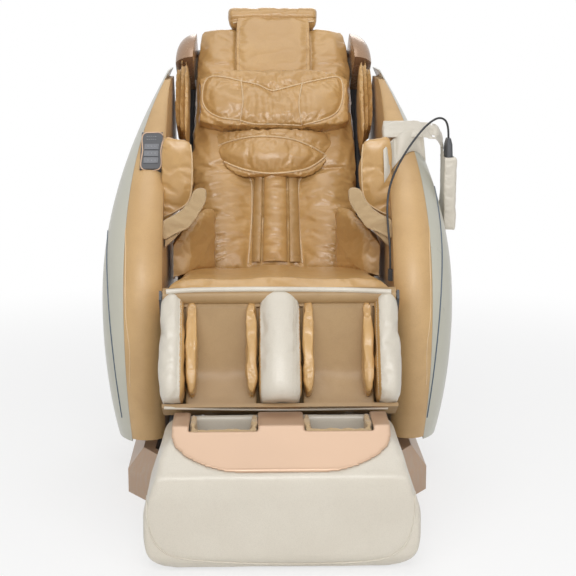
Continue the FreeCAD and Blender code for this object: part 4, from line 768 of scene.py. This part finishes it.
def reflected(obj, name):
    """The piece's mirror image on the other side of the chair."""
    twin = bpy.data.objects.new(name, obj.data.copy())
    bpy.context.scene.collection.objects.link(twin)
    shift(twin, places(twin) * np.array([-1.0, 1.0, 1.0]))
    only(twin)
    bpy.ops.object.mode_set(mode="EDIT")
    bpy.ops.mesh.select_all(action="SELECT")
    bpy.ops.mesh.flip_normals()
    bpy.ops.object.mode_set(mode="OBJECT")
    return twin


def two_tone_and_painted_light(obj, second, chosen):
    """Give the faces that chosen(centre in mm, normal) picks a second leather: two-tone upholstery on the calf
    bolsters, painted light on the hip pads' front faces.
    """
    obj.data.materials.append(MATERIALS[second])
    for face in obj.data.polygons:
        if chosen(face.center / MM, face.normal):
            face.material_index = 1
    return obj


# ---------------------------------------------------------------- pieces

HARDWARE = {
    "steel": ("base_frame", "wheel_brackets", "seat_frame", "back_frame", "knead_arm_left", "knead_arm_right"),
    "bright": ("slide_rails", "guide_rails", "slide_tubes", "recline_actuator_rod", "leg_actuator_rod"),
    "dark": ("control_box", "air_pump", "recline_actuator_tube", "leg_actuator_tube", "massage_carriage", "handset",
             "keypad_panel"),
    "darker": ("power_inlet", "rear_panel"),
    "rubber": ("roller_lower_left", "roller_lower_right", "roller_upper_left", "roller_upper_right",
               "transport_wheel_left", "transport_wheel_right", "cord_gland"),
    "skirt": ("base_skirt",),
    "shell": ("side_shell_left", "side_shell_right"),
    "brown": ("shoulder_cap_left", "shoulder_cap_right"),
    "rear": ("back_shell",),
    # calf shell in the darker tan copy: painted shade
    "tan_inner_painted_shade": ("calf_shell",),
    "key": ("keypad_key_1", "keypad_key_2", "keypad_key_3"),
    # arm facings in the paler tan copy: painted light
    "tan_smooth_painted_light": ("arm_facing_left", "arm_facing_right"),
}


class CHAIR_OT_hardware(bpy.types.Operator):
    """Finish the metal, plastic and rubber pieces"""
    bl_idname = "chair.hardware"
    bl_label = "Hardware"

    def execute(self, context):
        for node in NODES.values():
            paint(node, "tan")
        for material, names in HARDWARE.items():
            for name in names:
                paint(NODES[name], material)
        return {"FINISHED"}


class CHAIR_OT_cord(bpy.types.Operator):
    """Lay the handset's cord from the seat to the pouch"""
    bl_idname = "chair.cord"
    bl_label = "Handset cord"

    def execute(self, context):
        MATERIALS.update(make_materials())
        route = [(.258, -.262, .556), (.258, -.262, .598), (.253, -.252, .646), (.251, -.234, .694),
                 (.257, -.216, .738), (.274, -.196, .778), (.300, -.166, .816), (.330, -.140, .852),
                 (.359, -.121, .880), (.387, -.109, .893), (.408, -.103, .877), (.408, -.103, .842)]
        curve = bpy.data.curves.new("cord", "CURVE")
        curve.dimensions = "3D"
        curve.bevel_depth = sizes().cord / 2
        curve.bevel_resolution = 4
        curve.resolution_u = 12
        curve.use_fill_caps = True
        spline = curve.splines.new("NURBS")
        spline.points.add(len(route) - 1)
        for point, at in zip(spline.points, route):
            point.co = (*at, 1)
        spline.order_u = 3
        spline.use_endpoint_u = True
        cord = bpy.data.objects.new("cord", curve)
        context.scene.collection.objects.link(cord)
        curve.materials.append(MATERIALS["rubber"])
        settle(cord, "seat", "handset_cord")
        return {"FINISHED"}


class CHAIR_OT_shells(bpy.types.Operator):
    """Let the seam strips into the side shells"""
    bl_idname = "chair.shells"
    bl_label = "Side shells"

    strip = [(141, 96), (124, 150), (112, 200), (107, 250), (109, 310), (115, 370), (122, 418)]

    def execute(self, context):
        for side, sign in SIDES:
            shell = NODES["side_shell_" + side]
            points = self.strip if sign < 0 else flipped(self.strip, 549)
            piped("shell_seam_" + side, shell, points, "seat", "seam", 0.0016, slot="cream_shell")
            facing = NODES["arm_facing_" + side]
            edge = struck(facing, [(sign * 600, -330, 300), (sign * 600, -340, 420), (sign * 600, -290, 600),
                                   (sign * 600, -150, 760), (sign * 600, 60, 900)], (-sign, 0, 0))
            if len(edge) > 4:
                settle(paint(tube("facing_piping_" + side, edge, 0.0014), "piping"), "seat", slot="tan_leather")
        return {"FINISHED"}


class CHAIR_OT_rear(bpy.types.Operator):
    """Cut the vents and the panel line into the rear cover"""
    bl_idname = "chair.rear"
    bl_label = "Rear cover"

    def execute(self, context):
        cover = NODES["back_shell"]
        for number in range(8):
            z, half = 700 + number * 16, 96 - abs(number - 3.5) * 5
            slot = struck(cover, [(-half, 900, z), (0, 900, z), (half, 900, z)], (0, -1, 0))
            if len(slot) > 4:
                settle(paint(tube("rear_vent_%d" % number, slot, 0.0024), "darker"), "back", slot="dark")
        for side, sign in SIDES:
            line = struck(cover, [(sign * 196, 900, 960), (sign * 190, 900, 800), (sign * 178, 900, 640),
                                  (sign * 150, 900, 520), (sign * 60, 900, 465), (0, 900, 460)], (0, -1, 0))
            if len(line) > 4:
                settle(paint(tube("rear_line_" + side, line, 0.0011), "darker"), "back", slot="dark")
        return {"FINISHED"}


class CHAIR_OT_seat(bpy.types.Operator):
    """Stuff the seat cushion and the hip pads"""
    bl_idname = "chair.seat"
    bl_label = "Seat"

    def execute(self, context):
        front = [(167, 281), (186, 279.5), (210, 278.5), (240, 278), (275, 278.5), (310, 280), (345, 282.5), (388, 283)]
        seat = stuffed("seat_cushion", "seat_cover", UP, [front], grid=0.0065, cap=0.010)
        corner = seen(seat, [(172, 276), (184, 271), (202, 268)])
        if len(corner) > 3:
            pucker(seat, corner, 0.0045, 0.022, 0.030, 1.7)
        line = seen(seat, front)
        if len(line) > 3:
            pucker(seat, line, 0.002, 0.018, 0.026, 4.2)
        crumple(seat, PLAIN, 0.0022, (70, 60, 60), 2.0)
        settle(paint(seat, "tan"), "seat", "seat_cushion", slot="tan_leather", fill=0.75)
        piped("seat_piping", seat, front, "seat")
        for side, sign in SIDES:
            pad = stuffed("hip_pad_" + side, "hip_cover_" + side, (-sign * 0.8, -0.5, 0.2), grid=0.005, cap=0.006)
            crumple(pad, PLAIN, 0.0022, (60, 45, 30), 3.0 + sign)
            paint(pad, "tan")
            # faces turned to the front take the paler tan copy: painted light
            two_tone_and_painted_light(pad, "tan_smooth_painted_light", lambda at, out: out.y < -0.72)
            settle(pad, "seat", "hip_pad_" + side, slot="tan_leather", fill=0.8)
        return {"FINISHED"}


class CHAIR_OT_arms(bpy.types.Operator):
    """Stuff the pads that close round the forearms"""
    bl_idname = "chair.arms"
    bl_label = "Arm pads"

    flap = [(163, 141), (176, 139), (190, 144), (193, 160), (192.5, 190), (188, 204), (175, 213), (161, 219), (161, 180)]
    cloth = [(163, 222), (175, 214), (187, 204), (193, 191), (203, 188), (207, 194), (204, 206), (197, 217), (187, 229),
             (173, 236), (163, 240)]
    under = [(163, 222), (176, 217), (188, 209), (190, 213), (180, 221), (162, 227)]

    def execute(self, context):
        for side, sign in SIDES:
            upper = stuffed("arm_upper_pad_" + side, "arm_upper_cover_" + side, (-sign, -0.4, 0), grid=0.004,
                            cap=0.004)
            settle(paint(upper, "tan"), "seat", "arm_upper_pad_" + side, slot="tan_leather", fill=0.7)
            lower = stuffed("arm_lower_pad_" + side, "arm_lower_cover_" + side, (-sign * 0.5, -0.6, 0.6),
                            grid=0.004, cap=0.004)
            settle(paint(lower, "cloth"), "seat", "arm_lower_pad_" + side, slot="beige_cloth", fill=0.6)
        first = leaf("arm_flap_right", self.flap, -182, 0.012, 0.006)
        crumple(first, PLAIN, 0.0015, (60, 60, 45), 5.0)
        second = leaf("arm_underflap_right", self.under, -180, 0.008, 0.003)
        face = leaf("arm_cloth_right", self.cloth, -236, 0.014, 0.004)
        crumple(face, PLAIN, 0.0015, (40, 40, 30), 6.0)
        for obj, material, slot in ((first, "tan", "tan_leather"), (second, "tan", "tan_leather"),
                                    (face, "cloth", "beige_cloth")):
            settle(paint(obj, material), "seat", slot=slot, fill=0.6)
            twin = reflected(obj, obj.name.replace("right", "left"))
            settle(paint(twin, material), "seat", slot=slot, fill=0.6)
        edge = [(190.5, 145), (192, 160), (191.5, 189), (187, 203), (175, 211.5), (163, 217)]
        strip = piped("arm_flap_piping_right", first, edge, "seat", radius=0.0018)
        if strip:
            settle(reflected(strip, "arm_flap_piping_left"), "seat", slot="tan_leather")
        return {"FINISHED"}


class CHAIR_OT_back(bpy.types.Operator):
    """Stuff the back cushion, with its straps and its gathered middle"""
    bl_idname = "chair.back"
    bl_label = "Back cushion"

    inner = [(242.5, 168), (249.5, 178), (251.8, 188), (251.5, 220), (248, 264)]
    side = [(196, 176), (200, 200), (208, 225), (213, 250), (217, 262)]
    flap_edge = [(237, 28), (235.5, 50), (236, 75)]
    top = [(203, 40), (201, 60), (199, 80)]

    def execute(self, context):
        lines = [self.inner, flipped(self.inner, 550.5), self.flap_edge, flipped(self.flap_edge, 547)]
        back = stuffed("back_cushion", "back_cover", FORWARD, lines, grid=0.0068, cap=0.012, depth=0.004)
        for number, points in enumerate((self.side, flipped(self.side, 548))):
            line = seen(back, points)
            if len(line) > 3:
                pucker(back, line, 0.0055, 0.020, 0.055, 1.0 + number * 7)
                pucker(back, line, 0.0030, 0.010, 0.030, 3.0 + number * 7)
        for number, points in enumerate(lines):
            line = seen(back, points)
            if len(line) > 3:
                pucker(back, line, 0.0022 if number < 2 else 0.0036, 0.016 if number < 2 else 0.03, 0.035,
                       9.0 + number * 3)
        crumple(back, BACK, 0.0028, (80, 60, 46), 1.0)
        settle(paint(back, "tan"), "back", "back_cushion", slot="tan_leather", fill=0.85)
        for name, points in (("left", flipped(self.inner, 550.5)), ("right", self.inner)):
            piped("back_piping_" + name, back, points, "back", radius=0.0022)
        straps = (("right", [(254.5, 172), (253, 215), (252, 264)], [(262.5, 172), (262, 215), (260.5, 264)]),
                  ("left", [(288, 172), (289, 215), (289.5, 264)], [(297.5, 172), (299, 215), (300.5, 264)]))
        for name, first, second in straps:
            strap = ribbon("back_strap_" + name, back, first, second, 0.004, 0.003)
            settle(paint(strap, "strap"), "back", slot="tan_leather")
        gather = ribbon("back_gather", back, [(264, 172), (263.5, 215), (262.5, 264)],
                        [(286.5, 172), (287, 215), (287.5, 264)], 0.012, 0.003, 13, 0.009, 0.014)
        settle(paint(gather, "tan"), "back", slot="tan_leather", fill=0.5)
        return {"FINISHED"}


class CHAIR_OT_head(bpy.types.Operator):
    """Stuff the roll, the flap, the head pillow and the neck pad"""
    bl_idname = "chair.head"
    bl_label = "Head pillow"

    vee = [(241, 81), (257, 84.5), (271.5, 90.5), (286, 87.5), (302, 83.5)]
    left_pad = [(241, 81), (226, 77.5), (212, 76.5), (205.5, 81), (202.5, 92), (203, 103), (209, 112), (222, 118), (240, 120)]
    right_pad = [(302, 83.5), (318, 80), (337, 77), (342.5, 85), (342, 101), (336, 113), (322, 120), (303, 125)]
    split_left = [(241, 81), (243, 100), (240, 120)]
    split_right = [(302, 84), (299, 104), (302, 125)]
    low = [(240, 120.5), (254, 124), (277, 124.5), (302, 125.7)]
    lens = [(211, 150), (225, 143), (247, 137.5), (268, 136.4), (291, 139), (309, 145.5), (325, 154.5)]
    rim = [(206, 141), (210, 150), (219, 159), (236, 167), (252, 171.5), (270, 173.5), (291, 172), (309, 168),
           (324, 158), (332, 147)]
    middle = [(267, 127), (268, 136)]

    def execute(self, context):
        roll_line = [(233, 23), (252, 21), (277, 21.5), (300, 22), (314, 21.5)]
        roll = stuffed("top_roll", "top_roll_cover", (0, -0.5, 0.8), [roll_line], cap=0.005)
        crumple(roll, BACK, 0.0016, (70, 30, 30), 6.0)
        co = places(roll)
        high = np.clip((co[:, 2:] - 1.040) / 0.030, 0, 1)
        shift(roll, co + high * (outward(roll) * 0.008 + np.array([0, -0.002, 0.010])))
        settle(paint(roll, "tan"), "back", "top_roll", slot="tan_leather", fill=0.8)
        piped("top_roll_piping", roll, roll_line, "back")
        flap = stuffed("pillow_flap", "pillow_flap_cover", FORWARD, grid=0.005, rounds=3, cap=0.003)
        crumple(flap, BACK, 0.0020, (70, 40, 60), 8.0)
        settle(paint(flap, "tan"), "pillow", "pillow_flap", slot="tan_leather", fill=0.4)
        for name, x in (("right", 240), ("left", 307)):
            stitched("pillow_flap_stitches_" + name, flap, [(x, 27), (x - 0.5, 50), (x - 0.5, 72)], "pillow")
        splits = [self.vee, self.left_pad, self.right_pad, self.low]
        pillow = stuffed("head_pillow", "head_pillow_cover", FORWARD, splits, grid=0.0055, rounds=6, cap=0.010,
                         depth=0.004)
        for number, points in enumerate((self.vee, self.low)):
            pucker(pillow, seen(pillow, points), 0.0038, 0.013, 0.045, 2.0 + number * 5)
        for number, points in enumerate((self.left_pad, self.right_pad)):
            pucker(pillow, seen(pillow, points), 0.0022, 0.020, 0.026, 11.0 + number * 5)
        crumple(pillow, BACK, 0.0022, (50, 40, 40), 12.0)
        settle(paint(pillow, "tan"), "pillow", "head_pillow", slot="tan_leather", fill=0.85)
        for name, points in (("vee", self.vee), ("right_pad", self.left_pad), ("left_pad", self.right_pad),
                             ("low", self.low), ("right_split", self.split_left), ("left_split", self.split_right)):
            piped("head_piping_" + name, pillow, points, "pillow", radius=0.0020)
        neck = stuffed("neck_pad", "neck_pad_cover", FORWARD, [self.lens, self.rim, self.middle], cap=0.008,
                       depth=0.004)
        pucker(neck, seen(neck, self.lens), 0.0018, 0.016, 0.022, 21.0)
        pucker(neck, seen(neck, self.rim), 0.0018, 0.014, 0.022, 23.0)
        settle(paint(neck, "tan"), "pillow", "neck_pad", slot="tan_leather", fill=0.8)
        piped("neck_piping_lens", neck, self.lens, "pillow", radius=0.0022)
        piped("neck_piping_rim", neck, self.rim, "pillow", radius=0.0026)
        return {"FINISHED"}


class CHAIR_OT_shoulders(bpy.types.Operator):
    """Stuff the leaf pads beside the shoulders"""
    bl_idname = "chair.shoulders"
    bl_label = "Shoulder pads"

    def execute(self, context):
        for side, sign in SIDES:
            pads = stuffed("shoulder_pads_" + side, "shoulder_covers_" + side, (-sign * 0.3, -0.9, 0.2), grid=0.0035,
                           rounds=5, cap=0.003)
            crumple(pads, BACK, 0.0014, (20, 30, 70), 14.0 + sign)
            settle(paint(pads, "tan"), "back", "shoulder_pads_" + side, slot="tan_leather", fill=0.7)
        return {"FINISHED"}


def drawn_up(obj, rise, start=-140.0, run=100.0):
    """Draw the top of a calf piece up to the knee roll, along the leg."""
    co = places(obj)
    share = np.clip((LEG.into(co)[:, 2] - start) / run, 0, 1)
    share = share * share * (3 - 2 * share) * rise * MM
    return shift(obj, co + share[:, None] * np.array([0, LEG.sin, LEG.cos]))


def liner(name, sign, profile, x0, x1, columns=16):
    """A leather lining over one calf channel's back."""
    rows = LEG.line([(0, y, z) for y, z in profile], step=6.0)
    cells = []
    for i, p in enumerate(rows):
        for k in range(columns + 1):
            t = k / columns
            fold = 0.0012 * noise.noise(Vector((t * 5, i * 0.12, sign * 3.0)))
            cells.append(p + Vector((sign * (x0 + (x1 - x0) * t) * MM, 0, 0)) + Vector(FORWARD) * fold)
    wide = columns + 1
    mesh = bpy.data.meshes.new(name)
    mesh.from_pydata(cells, [], [(i * wide + k, i * wide + k + 1, (i + 1) * wide + k + 1, (i + 1) * wide + k)
                                 for i in range(len(rows) - 1) for k in range(columns)])
    obj = bpy.data.objects.new(name, mesh)
    bpy.context.scene.collection.objects.link(obj)
    modified(obj, "SOLIDIFY", thickness=0.0025, offset=0)
    fine(obj)
    return shade_smooth(obj)


class CHAIR_OT_calf(bpy.types.Operator):
    """Stuff the calf unit's bolsters and leaf pads"""
    bl_idname = "chair.calf"
    bl_label = "Calf unit"

    outer = [(178.5, 293), (178, 340), (176, 394)]
    middle = [(294, 291), (293, 340), (293, 396)]
    roll = [(166, 292), (190, 290.5), (213, 290), (245, 289.6), (277, 289.5), (315, 289.8), (352, 290.3), (391, 292)]

    def execute(self, context):
        bolsters = stuffed("calf_bolsters", "calf_bolster_covers", FORWARD, [self.outer, flipped(self.outer, 555)],
                           grid=0.006, rounds=6, cap=0.006, depth=0.0015)
        drawn_up(bolsters, 34)
        crumple(bolsters, LEG, 0.0009, (30, 50, 80), 15.0)
        paint(bolsters, "cream")
        two_tone_and_painted_light(bolsters, "tan", lambda at, out: (abs(at.x) < 214 and out.x * at.x < -0.1 * abs(at.x))
                 if abs(at.x) > 120 else abs(at.x) > 42)
        settle(bolsters, "leg", "calf_bolsters", slot="cream_leather", fill=0.9)
        rows = (("outer_right", self.outer), ("outer_left", flipped(self.outer, 555)), ("middle", self.middle))
        for name, points in rows:
            for number, gap in enumerate((0, 3.2)):
                stitched("calf_stitches_%s_%d" % (name, number), bolsters, [(x + gap, y) for x, y in points], "leg",
                         "thread", "cream_leather")
        pads = stuffed("calf_air_pads", "calf_leaf_pads", FORWARD, grid=0.004, rounds=6, cap=0.005)
        drawn_up(pads, 40)
        crumple(pads, LEG, 0.0026, (14, 24, 60), 17.0)
        settle(paint(pads, "tan"), "leg", "calf_air_pads", slot="tan_leather", fill=0.7)
        profile = [(3, -22), (14, -50), (33, -100), (49, -142), (54, -165), (55, -200), (55, -236)]
        for side, sign in SIDES:
            # channel linings in the darker tan copy: painted shade
            settle(paint(liner("calf_lining_" + side, sign, profile, 50, 204), "tan_inner_painted_shade"), "leg", slot="tan_leather")
        piped("calf_roll_piping", NODES["calf_shell"], self.roll, "leg", "cream_piping", 0.0055, slot="cream_leather")
        piped("calf_low_piping", NODES["calf_shell"], [(164, 408), (220, 409), (274, 409.5), (330, 409), (388, 408)],
              "leg", "cream_piping", 0.0035, slot="cream_leather")
        return {"FINISHED"}


class CHAIR_OT_foot(bpy.types.Operator):
    """Cover the foot box, and pad its wells"""
    bl_idname = "chair.foot"
    bl_label = "Foot box"

    edge = [(160, 425), (150, 450), (147, 490), (148, 525), (160, 549), (190, 560), (280, 564), (370, 561), (400, 550),
            (413, 527), (415, 490), (411, 450), (402, 425)]

    def execute(self, context):
        box = skin("foot_box", "foot_box_cover", 0.007, 14)
        line = seen(box, self.edge)
        seam(box, line, 0.0022, 0.006)
        fine(box)
        crumple(box, PLAIN, 0.0010, (120, 120, 90), 19.0)
        settle(paint(box, "cream"), "foot", "foot_box", slot="cream_leather", fill=0.95)
        piped("foot_box_piping", box, self.edge, "foot", "cream_piping", 0.0016, slot="cream_leather")
        trim = skin("foot_trim", "foot_trim_smooth", 0.0028, 10)
        shift(trim, places(trim) + outward(trim) * 0.0012)
        settle(paint(trim, "bronze"), "foot", "foot_trim", slot="bronze")
        pads = stuffed("foot_pads", "foot_well_pads", FORWARD, grid=0.004, rounds=5, cap=0.004)
        crumple(pads, PLAIN, 0.0024, (30, 24, 24), 21.0)
        settle(paint(pads, "cloth"), "foot", "foot_pads", slot="beige_cloth", fill=0.5)
        return {"FINISHED"}


class CHAIR_OT_controls(bpy.types.Operator):
    """Frame and mark the keypad, and cover the handset's pouch"""
    bl_idname = "chair.controls"
    bl_label = "Controls"

    bezel = [(143.8, 134), (162, 134), (160.8, 151), (159.6, 168.4), (141.8, 168.4), (142.6, 151)]
    band = [(383, 150), (389, 143), (397, 136), (408, 129.5), (417, 129), (424, 137), (431, 148), (438, 160)]
    hem = [(384, 184), (387, 179), (392, 170), (400, 160), (410, 152), (417, 152), (424, 160), (431, 172)]

    def execute(self, context):
        panel = NODES["keypad_panel"]
        line = seen(panel, self.bezel, closed=True)
        if len(line) > 8:
            ring = tube("keypad_bezel", line, 0.0016, True)
            settle(paint(ring, "bronze"), "seat", slot="bronze")
        rows = [(panel, "seat", 136.4, 5), (panel, "seat", 139.4, 5)]
        rows += [(NODES["keypad_key_%d" % n], "key_%d" % n, 160.2 - 7 * (n - 1), 3) for n in (1, 2, 3)]
        for row, (under, body, y, count) in enumerate(rows):
            for column in range(count):
                x = 151.6 + (column - (count - 1) / 2) * (10.5 / count)
                mark = seen(under, [(x - 0.7, y), (x + 0.7, y)], lift=0.0002)
                if len(mark) > 1:
                    glyph = tube("keypad_mark_%d_%d" % (row, column), mark, 0.0005)
                    settle(paint(glyph, "glyph"), body, slot="key")
        pouch = stuffed("handset_pouch", "handset_pouch_cover", (0.5, -0.8, 0.3), grid=0.004, rounds=3, shrink=0.0,
                        cap=0.002, depth=0.0)
        crumple(pouch, PLAIN, 0.0018, (40, 40, 60), 23.0)
        settle(paint(pouch, "cream"), "seat", "handset_pouch", slot="cream_leather", fill=0.2)
        carried = [NODES["arm_facing_left"], NODES["side_shell_left"], pouch, bpy.data.objects["arm_flap_left"]]
        band = ribbon("pouch_strap", carried, self.band, self.hem, 0.003, 0.0024, 9, 0.004, 0.03, 0.25)
        settle(paint(band, "cream"), "seat", slot="cream_leather")
        return {"FINISHED"}


class CHAIR_OT_stage(bpy.types.Operator):
    """Set up the floor, the lamps and the camera"""
    bl_idname = "chair.stage"
    bl_label = "Stage"

    def execute(self, context):
        bpy.ops.object.select_all(action="DESELECT")
        bpy.ops.mesh.primitive_plane_add(size=80, location=(0, 0, -0.0005))
        floor = bpy.context.active_object
        floor.name = "floor"
        bpy.ops.object.transform_apply(location=True)
        s = Shade("pale_floor")
        s.finish(Base_Color=(0.93, 0.93, 0.93), Roughness=0.7)
        out = s.tree.nodes["Material Output"]
        lit = s.tree.nodes.new("ShaderNodeEmission")
        lit.inputs[0].default_value = (1, 1, 1, 1)
        blend = s.tree.nodes.new("ShaderNodeMixShader")
        ray = s.node("ShaderNodeLightPath", {})
        nodes = ray.socket.node.outputs
        for kind in ("Is Glossy Ray", "Is Transmission Ray"):
            ray = ray.op("MAXIMUM", Value(s, nodes[kind]))
        at = s.node("ShaderNodeTexCoord", {}, out="Object")
        across, along = (s.node("ShaderNodeSeparateXYZ", {}, at, out=axis) for axis in (0, 1))
        s.feed(blend.inputs[0], ray * s.between(across ** 2 + along ** 2, 0.5, 6.0, 0.68, 1.0))
        s.tree.links.new(s.surface.outputs[0], blend.inputs[1])
        s.tree.links.new(lit.outputs[0], blend.inputs[2])
        s.tree.links.new(blend.outputs[0], out.inputs[0])
        floor.data.materials.append(s.material)
        world = bpy.data.worlds.new("studio")
        context.scene.world = world
        world.use_nodes = True
        tree = world.node_tree
        back = tree.nodes["Background"]
        back.inputs[0].default_value = (1, 1, 1, 1)
        path = tree.nodes.new("ShaderNodeLightPath")
        shown = path.outputs["Is Camera Ray"]
        for kind in ("Is Glossy Ray", "Is Transmission Ray"):
            either = tree.nodes.new("ShaderNodeMath")
            either.operation = "MAXIMUM"
            tree.links.new(shown, either.inputs[0])
            tree.links.new(path.outputs[kind], either.inputs[1])
            shown = either.outputs[0]
        level = tree.nodes.new("ShaderNodeMapRange")
        level.inputs[3].default_value = 0.36
        level.inputs[4].default_value = 1.0
        tree.links.new(shown, level.inputs[0])
        tree.links.new(level.outputs[0], back.inputs[1])
        lamps = (("key", (-1.3, -3.0, 1.9), 1.2, 1.4, 15), ("fill", (1.5, -3.0, 1.6), 1.2, 1.4, 12),
                 ("front", (0.0, -3.4, 2.2), 1.4, 0.8, 38), ("top", (0.0, -0.5, 3.0), 2.0, 1.6, 18),
                 ("rim", (0.3, 2.4, 2.2), 1.8, 1.2, 14))
        for name, at, wide, high, power in lamps:
            data = bpy.data.lights.new(name, "AREA")
            data.shape = "RECTANGLE"
            data.size, data.size_y = wide, high
            data.energy = power
            lamp = bpy.data.objects.new(name, data)
            context.scene.collection.objects.link(lamp)
            lamp.location = at
            lamp.rotation_euler = (Vector((0, -0.1, 0.6)) - Vector(at)).to_track_quat("-Z", "Y").to_euler()
        camera = bpy.data.cameras.new("camera")
        camera.lens, camera.sensor_width = LENS, SENSOR
        eye = bpy.data.objects.new("camera", camera)
        context.scene.collection.objects.link(eye)
        eye.location = EYE
        eye.rotation_euler = (TILT, 0, TURN)
        context.scene.camera = eye
        context.scene.view_settings.view_transform = "Standard"
        return {"FINISHED"}


PIECES = (CHAIR_OT_stage, CHAIR_OT_cord, CHAIR_OT_hardware, CHAIR_OT_shells, CHAIR_OT_rear, CHAIR_OT_seat,
          CHAIR_OT_arms,
          CHAIR_OT_back, CHAIR_OT_head, CHAIR_OT_shoulders, CHAIR_OT_calf, CHAIR_OT_foot, CHAIR_OT_controls)


class CHAIR_PT_panel(bpy.types.Panel):
    """Lists the chair's pieces"""
    bl_idname = "CHAIR_PT_panel"
    bl_label = "Massage chair"
    bl_space_type = "VIEW_3D"
    bl_region_type = "UI"
    bl_category = "Chair"

    def draw(self, context):
        for piece in PIECES:
            self.layout.operator(piece.bl_idname)


CLASSES = (ChairSizes, ChairColours) + PIECES + (CHAIR_PT_panel,)


def register():
    for item in CLASSES:
        bpy.utils.register_class(item)
    bpy.types.Scene.chair_sizes = bpy.props.PointerProperty(type=ChairSizes)
    bpy.types.Scene.chair_colours = bpy.props.PointerProperty(type=ChairColours)


def unregister():
    del bpy.types.Scene.chair_colours
    del bpy.types.Scene.chair_sizes
    for item in reversed(CLASSES):
        bpy.utils.unregister_class(item)


def main():
    register()
    for piece in PIECES:
        group, name = piece.bl_idname.split(".")
        getattr(getattr(bpy.ops, group), name)()


if __name__ == "__main__":
    main()
